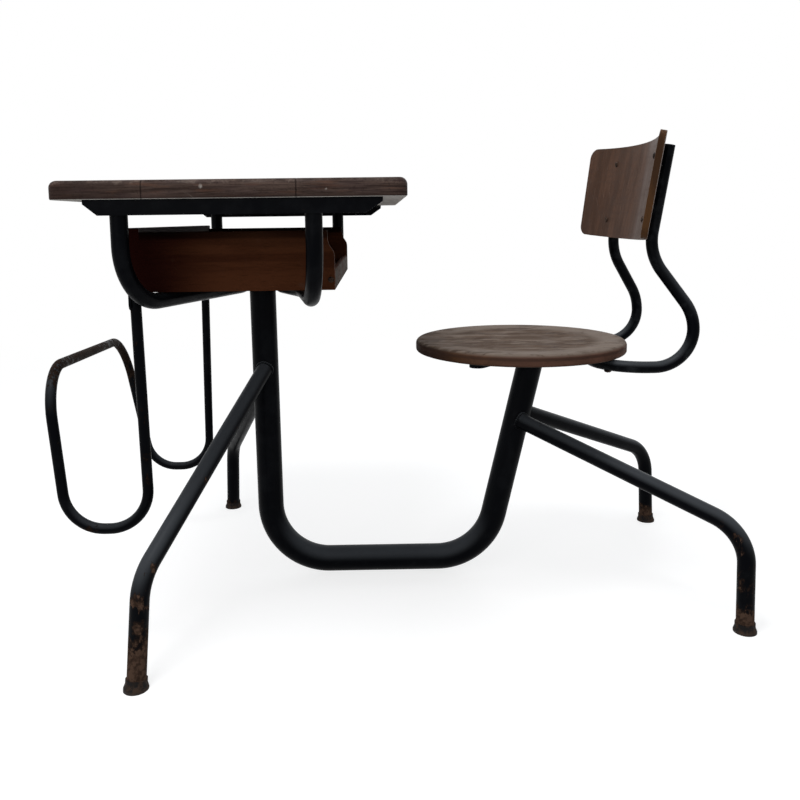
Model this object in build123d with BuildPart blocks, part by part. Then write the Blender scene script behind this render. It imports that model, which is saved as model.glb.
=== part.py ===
from build123d import *
from math import atan2, cos, degrees, hypot, radians, sin, sqrt, tan
import os

# School desk and stool in one piece, on a single bent tube spine. Millimetres, +Z up, floor at Z = 0.
# +X runs from the desk to the stool, so the pupil faces -X, and -Y is the pupil's left.
# The origin is under the middle of the whole piece, on the floor.

# ---------------------------------------------------------------- driving dimensions
# Spine: one bent tube, from the desk column along the floor to the seat post.
SPINE_D = 42.4
SPINE_WALL = 2.5
COLUMN_X = -213.46
COLUMN_LEAN = 0.46
COLUMN_TOP_Z = 509.0
LOW_RUN_Z = 28.0
POST_FOOT_X = 150.54
POST_LEAN = 13.1
SPINE_BEND_R = 99.0

# Legs: a straight stay that leaves the side of the spine and bends down to its foot.
# Roots are (X, distance from the middle), reaches run from the root to the foot on the floor, and knees
# are (distance out, height); pairs are given left then right, for the two sides are not bent quite alike.
LEG_D = 25.4
LEG_WALL = 2.0
DESK_LEG_ROOT = (-210.86, 15.0)
DESK_LEG_REACH = ((-135.0, 318.0), (-127.0, 318.0))
DESK_LEG_ROOT_Z = (363.0, 345.0)
DESK_LEG_KNEES = ((326.5, 141.5), (325.0, 134.0))
DESK_LEG_BEND_R = 66.0
SEAT_LEG_ROOT = (208.14, 19.0)
SEAT_LEG_REACH = (296.8, 199.0)
SEAT_LEG_ROOT_Z = (269.6, 280.0)
SEAT_LEG_KNEES = ((354.8, 150.2), (349.5, 145.5))
SEAT_LEG_BEND_R = 68.0
FOOT_H = 14.0
FOOT_RIM_D = 33.0
FOOT_COLLAR_D = 28.6
FOOT_PAD_T = 5.0

# Cradle: two tube hoops that carry the top and hold the book box between them.
HOOP_D = 22.0
HOOP_WALL = 2.0
HOOP_HALF_SPAN = 306.0
HOOP_CORNER_R = 76.0
HOOP_APEX_R = 60.0
FRONT_HOOP_X = -345.36
REAR_HOOP_X = -102.66
REAR_HOOP_BEND = (-136.86, 105.0)
REAR_HOOP_BEND_R = 150.0
PLATE_T = 4.0
PLATE_SIZE = (92.0, 84.0)
PLATE_CORNER_R = 8.0
PLATE_SCREW_Y = 32.0

# Top: three boards on two steel angle rails.
TOP_Z = 655.0
TOP_T = 23.5
TOP_X = (-425.36, 14.64)
TOP_HALF_W = 328.0
BOARD_JOINTS_X = (-310.36, -121.86)
BOARD_JOINT_CHAMFER = 0.6
TOP_CORNER_R = 12.0
TOP_ARRIS_R = 9.0
TOP_UNDER_R = 2.0
RAIL_T = 3.0
RAIL_DEPTH = 19.6
RAIL_FLANGE = 30.0
RAIL_OUTER_Y = 320.2
RAIL_X = (-384.86, -15.86)
RAIL_BEVELS = (17.5, 20.0)
RAIL_BEVEL_H = 14.0
TOP_SCREW_Y = 301.0
TOP_SCREWS_X = (-373.86, -323.86, -263.86, -167.86, -77.86, -37.86)

# Book box, open above and at the pupil's end.
BOX_X = (-358.86, -81.86)
BOX_HALF_W = 231.0
BOX_TOP_Z = 590.0
BOX_WALL = 10.0
FRONT_PANEL_T = 15.0
BOX_NOSE = ((-91.36, 590.0), (-89.86, 572.5), (-84.86, 564.0), (-81.86, 550.0))
BOX_EDGE_R = 1.5
FRONT_PANEL_TOP_Z = 596.0
LIP_TOP_Z = 536.0
LIP_TOP_R = 4.0
BOX_FLOOR_T = 6.0
PANEL_SCREWS_Z = (582.0,)
LIP_SCREW_Z = 523.0
CORNER_SCREW_L = 28.0

# Bag rack: one bent rod, two hooks joined by a front bar; the right hook hangs lower.
# Each end has a flat on it for the strap that holds it to the front panel.
RACK_D = 15.0
RACK_X = -355.36
RACK_HALF_SPAN = 222.0
RACK_END_Z = 504.0
RACK_HOOK_R = 56.0
RACK_ELBOWS_R = (68.0, 80.0)
RACK_LEFT = ((-349.86, 174.0), (-466.3, 174.0), (-484.46, 402.5))
RACK_RIGHT = ((-359.86, 126.0), (-471.8, 126.0), (-518.66, 381.0))
CLIP_T = 3.5
CLIP_W = 17.0
CLIP_Z = (484.0, 566.0)
CLIP_TIP_R = 8.0
CLIP_SCREW_L = 16.0
CLIP_SCREWS_Z = (527.0, 554.0)

# Seat, its spider and the back frame.
SEAT_CENTRE_X = 210.54
SEAT_R = 172.0
SEAT_T = 19.0
SEAT_TOP_Z = 405.0
SEAT_DISH = 3.0
SEAT_RIM = 14.0
SEAT_FLAT_R = 70.0
SEAT_UPPER_R = 7.0
SEAT_LOWER_R = 4.0
SPIDER_T = 6.0
SPIDER_BAR_W = 25.0
SPIDER_HUB_D = 60.0
SPIDER_TOE = (125.14, 126.0)
FRONT_BOLT = (135.84, 113.4)
REAR_BOLT_ANGLE = 38.0
SEAT_BOLT_D = 6.0
SEAT_BOLT_HEAD = (12.0, 3.0)
SEAT_NUT_D = 10.0
SEAT_NUT_H = 12.0
BACK_TUBE_D = 18.0
BACK_TUBE_WALL = 1.6
BACK_LOOP_X = 314.14
BACK_LOOP_R = 70.0
BACK_LOOP_HALF_SPAN = 132.0
BACK_HEEL_X = 448.9
BACK_HEEL_R = 57.0
BACK_BULGE_Z = 456.0
BACK_BULGE_R = 70.0
BACK_WAIST = (389.4, 547.3)
BACK_WAIST_R = 80.0
BACK_HALF_SPAN = 99.0
BACK_LEAN = 9.4
BACK_UPRIGHT = 164.2
PANEL_T = 9.0
PANEL_HALF_W = (172.0, 180.0)
PANEL_BASE = 18.9
PANEL_H = 155.5
PANEL_R = 455.0
PANEL_CORNER_R = 17.0
PANEL_BOLTS = (49.0, 145.5)

# Fixings.
WOOD_SCREW_D = 4.0
WOOD_SCREW_HEAD = (8.4, 2.6)
WOOD_SCREW_L = 18.0
SLOT_W = 1.1
PLATE_SCREW_L = 9.0
PANEL_BOLT_D = 5.0
PANEL_BOLT_HEAD = (10.0, 2.6)
PANEL_NUT_D = 8.0
PANEL_NUT_H = 9.0
WELD_GAP = 0.02

os.makedirs("parts", exist_ok=True)


def finish(piece, label):
    """Labels a finished piece and writes it to its own STEP file."""
    piece.label = label
    export_step(piece, "parts/" + label + ".step")


def tube_ring(path, diameter, wall):
    """The ring section of a tube, drawn square to the start of its path."""
    with BuildSketch(Plane(origin=path @ 0, z_dir=path % 0)) as ring:
        Circle(diameter / 2)
        Circle(diameter / 2 - wall, mode=Mode.SUBTRACT)
    return ring.sketch


def level(x, y, z):
    """A level plane at a point, facing up."""
    return Plane(origin=(x, y, z), x_dir=(1, 0, 0), z_dir=(0, 0, 1))


def head_profile(plane, head, shank_d, length):
    """Half section of a round-head screw; its head stands on the plane, the shank goes below it."""
    head_r = head[0] / 2
    side = Plane(origin=plane.origin, x_dir=plane.x_dir, z_dir=-plane.y_dir)
    with BuildSketch(side) as profile:
        with BuildLine():
            Polyline((0, head[1]), (head_r * 0.45, head[1]), (head_r * 0.85, head[1] * 0.6), (head_r, 0))
            Polyline((head_r, 0), (shank_d / 2, 0), (shank_d / 2, -length), (0, -length), (0, head[1]))
        make_face()
    return profile.sketch


def add_screw(plane, head, shank_d, length, slotted=True):
    """Adds one round-head screw or bolt to the group being built."""
    revolve(head_profile(plane, head, shank_d, length), axis=Axis(plane.origin, plane.z_dir))
    if slotted:
        with BuildSketch(plane.offset(head[1])) as slot:
            Rectangle(SLOT_W, head[0])
        extrude(slot.sketch, amount=-head[1] / 2, mode=Mode.SUBTRACT)


def add_nut(plane, outer_d, height, bore):
    """Adds one round insert nut, going down from the plane, to the group being built."""
    with BuildSketch(plane) as ring:
        Circle(outer_d / 2)
        Circle(bore / 2, mode=Mode.SUBTRACT)
    extrude(ring.sketch, amount=-height)


def drill(plane, diameter, depth):
    """Drills the piece being built from the plane, against the plane's facing direction."""
    with BuildSketch(plane) as hole_circle:
        Circle(diameter / 2)
    extrude(hole_circle.sketch, amount=-depth, mode=Mode.SUBTRACT)


# ---------------------------------------------------------------- spine
post_slope = tan(radians(POST_LEAN))
column_slope = tan(radians(COLUMN_LEAN))
seat_underside_z = SEAT_TOP_Z - SEAT_T
post_top_z = seat_underside_z - SPIDER_T


def column_x(z):
    """X of the desk column's axis at a height; it leans very slightly away from the stool."""
    return COLUMN_X + (COLUMN_TOP_Z - z) * column_slope


def post_x(z):
    """X of the leaning seat post's axis at a height."""
    return POST_FOOT_X + (z - LOW_RUN_Z) * post_slope


with BuildPart() as spine_tube:
    column_end_z = COLUMN_TOP_Z + SPINE_WALL
    post_end_z = post_top_z + SPINE_D / 2
    with BuildLine(Plane.XZ) as spine_path:
        FilletPolyline(
            (column_x(column_end_z), column_end_z),
            (column_x(LOW_RUN_Z), LOW_RUN_Z),
            (POST_FOOT_X, LOW_RUN_Z),
            (post_x(post_end_z), post_end_z),
            radius=SPINE_BEND_R,
        )
    sweep(sections=tube_ring(spine_path.line, SPINE_D, SPINE_WALL), path=spine_path.line)
    # Both heads are cut level, one for the head plate and one for the seat spider.
    for cut_x, cut_z in ((COLUMN_X, COLUMN_TOP_Z), (post_x(post_top_z), post_top_z)):
        with BuildSketch(level(cut_x, 0, cut_z)) as head_cut:
            Rectangle(2 * SPINE_D, 2 * SPINE_D)
        extrude(head_cut.sketch, amount=SPINE_D, mode=Mode.SUBTRACT)
finish(spine_tube.part, "spine_tube")


# ---------------------------------------------------------------- legs and feet
class Leg:
    """One leg: where it leaves the spine, how it runs in its upright plane and how it meets the floor."""

    def __init__(self, root, reach, side, root_z, knee, bend_r):
        self.root = (root[0], side * root[1])
        self.length = hypot(*reach)
        self.out = (reach[0] / self.length, side * reach[1] / self.length)
        self.root_z = root_z
        self.knee = knee
        self.bend_r = bend_r
        self.shin = hypot(self.length - knee[0], knee[1])
        self.tilt = atan2(self.length - knee[0], knee[1])
        self.side_dir = (self.out[1], -self.out[0], 0)
        self.upright = Plane(origin=(*self.root, 0), x_dir=(*self.out, 0), z_dir=self.side_dir)
        foot = (self.root[0] + reach[0], self.root[1] + side * reach[1], 0)
        shin_side = (self.out[0] * cos(self.tilt), self.out[1] * cos(self.tilt), sin(self.tilt))
        self.foot_plane = Plane(origin=foot, x_dir=shin_side, z_dir=self.side_dir)

    def add_tube(self):
        """Adds the bent leg tube; it stops inside the foot, a pad's thickness above the floor."""
        stop = 1 - FOOT_PAD_T / self.shin
        end = (self.knee[0] + stop * (self.length - self.knee[0]), self.knee[1] * (1 - stop))
        with BuildLine(self.upright) as path:
            FilletPolyline((0, self.root_z), self.knee, end, radius=self.bend_r)
        sweep(sections=tube_ring(path.line, LEG_D, LEG_WALL), path=path.line)

    def add_foot(self):
        """Adds the flared foot cup: turned about the shin, bored for the tube, cut level at the floor."""
        with BuildSketch(self.foot_plane) as cup_profile:
            with BuildLine():
                Polyline((0, FOOT_H), (0, -FOOT_PAD_T), (FOOT_RIM_D / 2, -FOOT_PAD_T))
                Polyline(
                    (FOOT_RIM_D / 2, -FOOT_PAD_T),
                    (FOOT_RIM_D / 2, FOOT_PAD_T / 2),
                    (FOOT_COLLAR_D / 2, FOOT_H * 0.6),
                    (FOOT_COLLAR_D / 2, FOOT_H),
                    (0, FOOT_H),
                )
            make_face()
        revolve(cup_profile.sketch, axis=Axis(self.foot_plane.origin, self.foot_plane.y_dir))
        bore = Plane(origin=self.foot_plane.origin, x_dir=self.side_dir, z_dir=self.foot_plane.y_dir)
        with BuildSketch(bore.offset(FOOT_PAD_T)) as bore_circle:
            Circle(LEG_D / 2)
        extrude(bore_circle.sketch, amount=FOOT_H, mode=Mode.SUBTRACT)
        with BuildSketch(level(self.foot_plane.origin.X, self.foot_plane.origin.Y, 0)) as floor:
            Rectangle(2 * FOOT_RIM_D, 2 * FOOT_RIM_D)
        extrude(floor.sketch, amount=-FOOT_RIM_D, mode=Mode.SUBTRACT)


column_dir = (-sin(radians(COLUMN_LEAN)), 0, cos(radians(COLUMN_LEAN)))
column_axis_plane = Plane(origin=(column_x(0), 0, 0), x_dir=(0, 1, 0), z_dir=column_dir)
post_dir = (sin(radians(POST_LEAN)), 0, cos(radians(POST_LEAN)))
post_axis_plane = Plane(origin=(POST_FOOT_X, 0, LOW_RUN_Z), x_dir=(0, 1, 0), z_dir=post_dir)

for index, (side_name, side) in enumerate((("left", -1), ("right", 1))):
    desk_leg = Leg(
        DESK_LEG_ROOT,
        DESK_LEG_REACH[index],
        side,
        DESK_LEG_ROOT_Z[index],
        DESK_LEG_KNEES[index],
        DESK_LEG_BEND_R,
    )
    seat_leg = Leg(
        SEAT_LEG_ROOT,
        SEAT_LEG_REACH,
        side,
        SEAT_LEG_ROOT_Z[index],
        SEAT_LEG_KNEES[index],
        SEAT_LEG_BEND_R,
    )
    for leg_name, leg, spine_axis_plane in (
        ("desk_leg", desk_leg, column_axis_plane),
        ("seat_leg", seat_leg, post_axis_plane),
    ):
        with BuildPart() as leg_tube:
            leg.add_tube()
            # Coped to the round of the spine tube that it is welded to.
            with BuildSketch(spine_axis_plane):
                Circle(SPINE_D / 2 + WELD_GAP)
            extrude(amount=COLUMN_TOP_Z, mode=Mode.SUBTRACT)
        finish(leg_tube.part, leg_name + "_" + side_name)

        with BuildPart() as foot_cup:
            leg.add_foot()
        finish(foot_cup.part, leg_name + "_foot_" + side_name)


# ---------------------------------------------------------------- cradle hoops
hoop_run_z = COLUMN_TOP_Z - HOOP_D / 2
rail_seat_z = TOP_Z - TOP_T - RAIL_T


def apex_beyond(touch_x, arm, radius):
    """X of a bend's sharp corner, so that the rounded bend just touches touch_x at Y = 0."""
    corner_x = touch_x
    for _ in range(20):
        half_turn = atan2(abs(corner_x - arm[0]), arm[1])
        overshoot = radius * (1 / cos(half_turn) - 1)
        corner_x = touch_x + (overshoot if touch_x > arm[0] else -overshoot)
    return corner_x


front_touch_x = COLUMN_X - SPINE_D / 2 - HOOP_D / 2 - WELD_GAP
rear_touch_x = COLUMN_X + SPINE_D / 2 + HOOP_D / 2 + WELD_GAP
front_apex_x = apex_beyond(front_touch_x, (FRONT_HOOP_X, HOOP_HALF_SPAN), HOOP_APEX_R)
rear_apex_x = apex_beyond(rear_touch_x, REAR_HOOP_BEND, HOOP_APEX_R)

with BuildPart() as front_hoop:
    with BuildLine() as front_hoop_path:
        FilletPolyline(
            (FRONT_HOOP_X, -HOOP_HALF_SPAN, rail_seat_z),
            (FRONT_HOOP_X, -HOOP_HALF_SPAN, hoop_run_z),
            (front_apex_x, 0, hoop_run_z),
            (FRONT_HOOP_X, HOOP_HALF_SPAN, hoop_run_z),
            (FRONT_HOOP_X, HOOP_HALF_SPAN, rail_seat_z),
            radius=(HOOP_CORNER_R, HOOP_APEX_R, HOOP_CORNER_R),
        )
    sweep(sections=tube_ring(front_hoop_path.line, HOOP_D, HOOP_WALL), path=front_hoop_path.line)
finish(front_hoop.part, "front_hoop")

with BuildPart() as rear_hoop:
    with BuildLine() as rear_hoop_path:
        FilletPolyline(
            (REAR_HOOP_X, -HOOP_HALF_SPAN, rail_seat_z),
            (REAR_HOOP_X, -HOOP_HALF_SPAN, hoop_run_z),
            (REAR_HOOP_BEND[0], -REAR_HOOP_BEND[1], hoop_run_z),
            (rear_apex_x, 0, hoop_run_z),
            (REAR_HOOP_BEND[0], REAR_HOOP_BEND[1], hoop_run_z),
            (REAR_HOOP_X, HOOP_HALF_SPAN, hoop_run_z),
            (REAR_HOOP_X, HOOP_HALF_SPAN, rail_seat_z),
            radius=(HOOP_CORNER_R, REAR_HOOP_BEND_R, HOOP_APEX_R, REAR_HOOP_BEND_R, HOOP_CORNER_R),
        )
    sweep(sections=tube_ring(rear_hoop_path.line, HOOP_D, HOOP_WALL), path=rear_hoop_path.line)
finish(rear_hoop.part, "rear_hoop")

with BuildPart() as head_plate:
    with BuildSketch(level(COLUMN_X, 0, COLUMN_TOP_Z)):
        RectangleRounded(*PLATE_SIZE, PLATE_CORNER_R)
        with Locations((0, -PLATE_SCREW_Y), (0, PLATE_SCREW_Y)):
            Circle(WOOD_SCREW_D / 2, mode=Mode.SUBTRACT)
    extrude(amount=PLATE_T)
finish(head_plate.part, "head_plate")


# ---------------------------------------------------------------- rails
for side_name, side in (("left", -1), ("right", 1)):
    with BuildPart() as rail:
        with BuildSketch(Plane(origin=(RAIL_X[0], 0, 0), x_dir=(0, 1, 0), z_dir=(1, 0, 0))):
            with Locations((side * (RAIL_OUTER_Y - RAIL_T / 2), TOP_Z - TOP_T - RAIL_DEPTH / 2)):
                Rectangle(RAIL_T, RAIL_DEPTH)
            with Locations((side * (RAIL_OUTER_Y - RAIL_FLANGE / 2), TOP_Z - TOP_T - RAIL_T / 2)):
                Rectangle(RAIL_FLANGE, RAIL_T)
        extrude(amount=RAIL_X[1] - RAIL_X[0])
        # Both lower corners of the hanging flange are cut off on the slant.
        rail_low_z = TOP_Z - TOP_T - RAIL_DEPTH
        with BuildSketch(Plane.XZ):
            for end_x, bevel, inward in ((RAIL_X[0], RAIL_BEVELS[0], 1), (RAIL_X[1], RAIL_BEVELS[1], -1)):
                with BuildLine():
                    Polyline(
                        (end_x, rail_low_z),
                        (end_x + inward * bevel, rail_low_z),
                        (end_x, rail_low_z + RAIL_BEVEL_H),
                        close=True,
                    )
                make_face()
        extrude(amount=2 * TOP_HALF_W, both=True, mode=Mode.SUBTRACT)
        for x in TOP_SCREWS_X:
            drill(level(x, side * TOP_SCREW_Y, TOP_Z), WOOD_SCREW_D, TOP_T + 2 * RAIL_T)
    finish(rail.part, "rail_" + side_name)


# ---------------------------------------------------------------- top boards
board_edges_x = (TOP_X[0], *BOARD_JOINTS_X, TOP_X[1])
top_middle_x = (TOP_X[0] + TOP_X[1]) / 2
for index, board_name in enumerate(("top_board_front", "top_board_middle", "top_board_rear")):
    with BuildPart() as board:
        with BuildSketch(level(top_middle_x, 0, TOP_Z - TOP_T)):
            RectangleRounded(TOP_X[1] - TOP_X[0], 2 * TOP_HALF_W, TOP_CORNER_R)
        extrude(amount=TOP_T)
        fillet(board.faces().sort_by(Axis.Z)[-1].edges(), radius=TOP_ARRIS_R)
        fillet(board.faces().sort_by(Axis.Z)[0].edges(), radius=TOP_UNDER_R)
        # This board's slice of the shaped top.
        with BuildSketch(level((board_edges_x[index] + board_edges_x[index + 1]) / 2, 0, TOP_Z - TOP_T)):
            Rectangle(board_edges_x[index + 1] - board_edges_x[index], 2 * TOP_HALF_W)
        extrude(amount=TOP_T, mode=Mode.INTERSECT)
        # A fine broken edge shows each joint line.
        for joint_x in BOARD_JOINTS_X:
            if joint_x in board_edges_x[index : index + 2]:
                joint_faces = board.faces().filter_by(Axis.X).filter_by(
                    lambda face, x=joint_x: abs(face.center().X - x) < BOARD_JOINT_CHAMFER
                )
                chamfer(joint_faces.edges().filter_by(Axis.Y).sort_by(Axis.Z)[-1], BOARD_JOINT_CHAMFER)
        for x in TOP_SCREWS_X:
            for side in (-1, 1):
                if board_edges_x[index] < x < board_edges_x[index + 1]:
                    hole_top = level(x, side * TOP_SCREW_Y, rail_seat_z + WOOD_SCREW_L)
                    drill(hole_top, WOOD_SCREW_D, WOOD_SCREW_L)
    finish(board.part, board_name)

with BuildPart() as top_screws:
    for x in TOP_SCREWS_X:
        for side in (-1, 1):
            seat_plane = Plane(
                origin=(x, side * TOP_SCREW_Y, rail_seat_z), x_dir=(0, 1, 0), z_dir=(0, 0, -1)
            )
            add_screw(seat_plane, WOOD_SCREW_HEAD, WOOD_SCREW_D, WOOD_SCREW_L)
finish(top_screws.part, "top_screws")


# ---------------------------------------------------------------- book box
box_floor_z = COLUMN_TOP_Z + PLATE_T
panel_inner_x = BOX_X[0] + FRONT_PANEL_T
lip_inner_x = BOX_X[1] - BOX_WALL
inner_half_w = BOX_HALF_W - BOX_WALL

for side_name, side in (("left", -1), ("right", 1)):
    with BuildPart() as box_side:
        with BuildSketch(Plane.XZ.offset(-side * BOX_HALF_W)):
            with BuildLine():
                Polyline(BOX_NOSE[0], (panel_inner_x, BOX_TOP_Z), (panel_inner_x, COLUMN_TOP_Z))
                Polyline((panel_inner_x, COLUMN_TOP_Z), (BOX_X[1], COLUMN_TOP_Z), BOX_NOSE[-1])
                Spline(*BOX_NOSE, tangents=((0.15, -1), (0, -1)))
            make_face()
        extrude(amount=side * BOX_WALL)
        fillet(box_side.edges().group_by(Axis.Z)[-1].filter_by(Axis.X), radius=BOX_EDGE_R)
        for z in PANEL_SCREWS_Z:
            hole = Plane(origin=(BOX_X[0], side * (BOX_HALF_W - BOX_WALL / 2), z), z_dir=(-1, 0, 0))
            drill(hole, WOOD_SCREW_D, CORNER_SCREW_L)
        lip_hole = Plane(
            origin=(BOX_X[1] - BOX_WALL / 2, side * BOX_HALF_W, LIP_SCREW_Z), z_dir=(0, side, 0)
        )
        drill(lip_hole, WOOD_SCREW_D, BOX_WALL)
    finish(box_side.part, "box_side_" + side_name)

with BuildPart() as box_front_panel:
    with BuildSketch(Plane(origin=(BOX_X[0], 0, 0), x_dir=(0, 1, 0), z_dir=(1, 0, 0))):
        with Locations((0, (COLUMN_TOP_Z + FRONT_PANEL_TOP_Z) / 2)):
            Rectangle(2 * BOX_HALF_W, FRONT_PANEL_TOP_Z - COLUMN_TOP_Z)
    extrude(amount=FRONT_PANEL_T)
    fillet(box_front_panel.edges().group_by(Axis.Z)[-1].filter_by(Axis.Y), radius=BOX_EDGE_R)
    for side in (-1, 1):
        for z in PANEL_SCREWS_Z:
            hole = Plane(origin=(BOX_X[0], side * (BOX_HALF_W - BOX_WALL / 2), z), z_dir=(-1, 0, 0))
            drill(hole, WOOD_SCREW_D, FRONT_PANEL_T)
        for z in CLIP_SCREWS_Z:
            clip_hole = Plane(origin=(BOX_X[0], side * RACK_HALF_SPAN, z), z_dir=(-1, 0, 0))
            drill(clip_hole, WOOD_SCREW_D, FRONT_PANEL_T)
finish(box_front_panel.part, "box_front_panel")

with BuildPart() as box_lip:
    with BuildSketch(Plane(origin=(lip_inner_x, 0, 0), x_dir=(0, 1, 0), z_dir=(1, 0, 0))):
        with Locations((0, (COLUMN_TOP_Z + LIP_TOP_Z) / 2)):
            Rectangle(2 * inner_half_w, LIP_TOP_Z - COLUMN_TOP_Z)
    extrude(amount=BOX_WALL)
    fillet(box_lip.edges().group_by(Axis.Z)[-1].filter_by(Axis.Y), radius=LIP_TOP_R)
    for side in (-1, 1):
        lip_hole = Plane(
            origin=(BOX_X[1] - BOX_WALL / 2, side * BOX_HALF_W, LIP_SCREW_Z), z_dir=(0, side, 0)
        )
        drill(lip_hole, WOOD_SCREW_D, WOOD_SCREW_L)
finish(box_lip.part, "box_lip")

with BuildPart() as box_floor:
    with BuildSketch(level((panel_inner_x + lip_inner_x) / 2, 0, box_floor_z)):
        Rectangle(lip_inner_x - panel_inner_x, 2 * inner_half_w)
    extrude(amount=BOX_FLOOR_T)
    for side in (-1, 1):
        drill(level(COLUMN_X, side * PLATE_SCREW_Y, COLUMN_TOP_Z + PLATE_SCREW_L), WOOD_SCREW_D, PLATE_SCREW_L)
finish(box_floor.part, "box_floor")

with BuildPart() as box_screws:
    for side in (-1, 1):
        for z in PANEL_SCREWS_Z:
            head_plane = Plane(
                origin=(BOX_X[0], side * (BOX_HALF_W - BOX_WALL / 2), z), z_dir=(-1, 0, 0)
            )
            add_screw(head_plane, WOOD_SCREW_HEAD, WOOD_SCREW_D, CORNER_SCREW_L)
        lip_plane = Plane(
            origin=(BOX_X[1] - BOX_WALL / 2, side * BOX_HALF_W, LIP_SCREW_Z), z_dir=(0, side, 0)
        )
        add_screw(lip_plane, WOOD_SCREW_HEAD, WOOD_SCREW_D, WOOD_SCREW_L)
finish(box_screws.part, "box_screws")

with BuildPart() as plate_screws:
    for side in (-1, 1):
        under_plate = Plane(
            origin=(COLUMN_X, side * PLATE_SCREW_Y, COLUMN_TOP_Z), x_dir=(1, 0, 0), z_dir=(0, 0, -1)
        )
        add_screw(under_plate, WOOD_SCREW_HEAD, WOOD_SCREW_D, PLATE_SCREW_L)
finish(plate_screws.part, "plate_screws")


# ---------------------------------------------------------------- bag rack
def hook_points(corners, y):
    """One hook's points, from its end under the front panel down and round to the front bar."""
    return [
        (RACK_X, y, RACK_END_Z),
        (corners[0][0], y, corners[0][1]),
        (corners[1][0], y, corners[1][1]),
        (corners[2][0], y, corners[2][1]),
    ]


with BuildPart() as bag_rack:
    with BuildLine() as rack_path:
        FilletPolyline(
            *hook_points(RACK_LEFT, -RACK_HALF_SPAN),
            *reversed(hook_points(RACK_RIGHT, RACK_HALF_SPAN)),
            radius=(RACK_HOOK_R, RACK_HOOK_R, *RACK_ELBOWS_R, RACK_HOOK_R, RACK_HOOK_R),
        )
    with BuildSketch(Plane(origin=rack_path.line @ 0, z_dir=rack_path.line % 0)) as rod_section:
        Circle(RACK_D / 2)
    sweep(sections=rod_section.sketch, path=rack_path.line)
    # The flats that the straps are welded to.
    for side in (-1, 1):
        with BuildSketch(level(BOX_X[0] - RACK_D, side * RACK_HALF_SPAN, CLIP_Z[0])) as flat_cut:
            Rectangle(2 * RACK_D, 2 * RACK_D)
        extrude(flat_cut.sketch, amount=RACK_END_Z, mode=Mode.SUBTRACT)
finish(bag_rack.part, "bag_rack")

strap_plane = Plane(origin=(BOX_X[0], 0, 0), x_dir=(0, -1, 0), z_dir=(-1, 0, 0))
with BuildPart() as rack_clips:
    for side in (-1, 1):
        with BuildSketch(strap_plane) as strap:
            with Locations((-side * RACK_HALF_SPAN, (CLIP_Z[0] + CLIP_Z[1]) / 2)):
                RectangleRounded(CLIP_W, CLIP_Z[1] - CLIP_Z[0], CLIP_TIP_R)
            with Locations(*((-side * RACK_HALF_SPAN, z) for z in CLIP_SCREWS_Z)):
                Circle(WOOD_SCREW_D / 2, mode=Mode.SUBTRACT)
        extrude(strap.sketch, amount=CLIP_T)
finish(rack_clips.part, "rack_clips")

with BuildPart() as clip_screws:
    for side in (-1, 1):
        for z in CLIP_SCREWS_Z:
            strap_face = Plane(origin=(BOX_X[0] - CLIP_T, side * RACK_HALF_SPAN, z), z_dir=(-1, 0, 0))
            add_screw(strap_face, WOOD_SCREW_HEAD, WOOD_SCREW_D, CLIP_SCREW_L)
finish(clip_screws.part, "clip_screws")


# ---------------------------------------------------------------- seat and spider
back_tube_z = seat_underside_z - BACK_TUBE_D / 2
head_x = post_x(post_top_z)
loop_centre = (BACK_LOOP_X + BACK_LOOP_R, BACK_LOOP_HALF_SPAN - BACK_LOOP_R)
rear_bolt = (
    loop_centre[0] - BACK_LOOP_R * cos(radians(REAR_BOLT_ANGLE)),
    loop_centre[1] + BACK_LOOP_R * sin(radians(REAR_BOLT_ANGLE)),
)
# Where each seat bolt goes up: its place and the height of the face under its head.
seat_bolts_at = [
    (x, side * y, head_z)
    for x, y, head_z in ((*FRONT_BOLT, post_top_z), (*rear_bolt, back_tube_z - BACK_TUBE_D / 2))
    for side in (-1, 1)
]

with BuildPart() as seat_disc:
    seat_axis_plane = Plane(origin=(SEAT_CENTRE_X, 0, 0), x_dir=(1, 0, 0), z_dir=(0, -1, 0))
    with BuildSketch(seat_axis_plane) as seat_profile:
        with BuildLine():
            Polyline((0, SEAT_TOP_Z - SEAT_DISH), (0, seat_underside_z), (SEAT_R, seat_underside_z))
            Polyline((SEAT_R, seat_underside_z), (SEAT_R, SEAT_TOP_Z), (SEAT_R - SEAT_RIM, SEAT_TOP_Z))
            ThreePointArc(
                (SEAT_R - SEAT_RIM, SEAT_TOP_Z),
                ((SEAT_R - SEAT_RIM + SEAT_FLAT_R) / 2, SEAT_TOP_Z - SEAT_DISH * 3 / 4),
                (SEAT_FLAT_R, SEAT_TOP_Z - SEAT_DISH),
            )
            Line((SEAT_FLAT_R, SEAT_TOP_Z - SEAT_DISH), (0, SEAT_TOP_Z - SEAT_DISH))
        make_face()
        rim_corners = seat_profile.vertices().group_by(Axis.X)[-1].sort_by(Axis.Y)
        fillet(rim_corners[-1], radius=SEAT_UPPER_R)
        lower_corner = seat_profile.vertices().group_by(Axis.X)[-1].sort_by(Axis.Y)[0]
        fillet(lower_corner, radius=SEAT_LOWER_R)
    revolve(axis=Axis((SEAT_CENTRE_X, 0, 0), (0, 0, 1)))
    for x, y, head_z in seat_bolts_at:
        drill(level(x, y, seat_underside_z + SEAT_NUT_H), SEAT_NUT_D, SEAT_NUT_H)
finish(seat_disc.part, "seat_disc")

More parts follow.
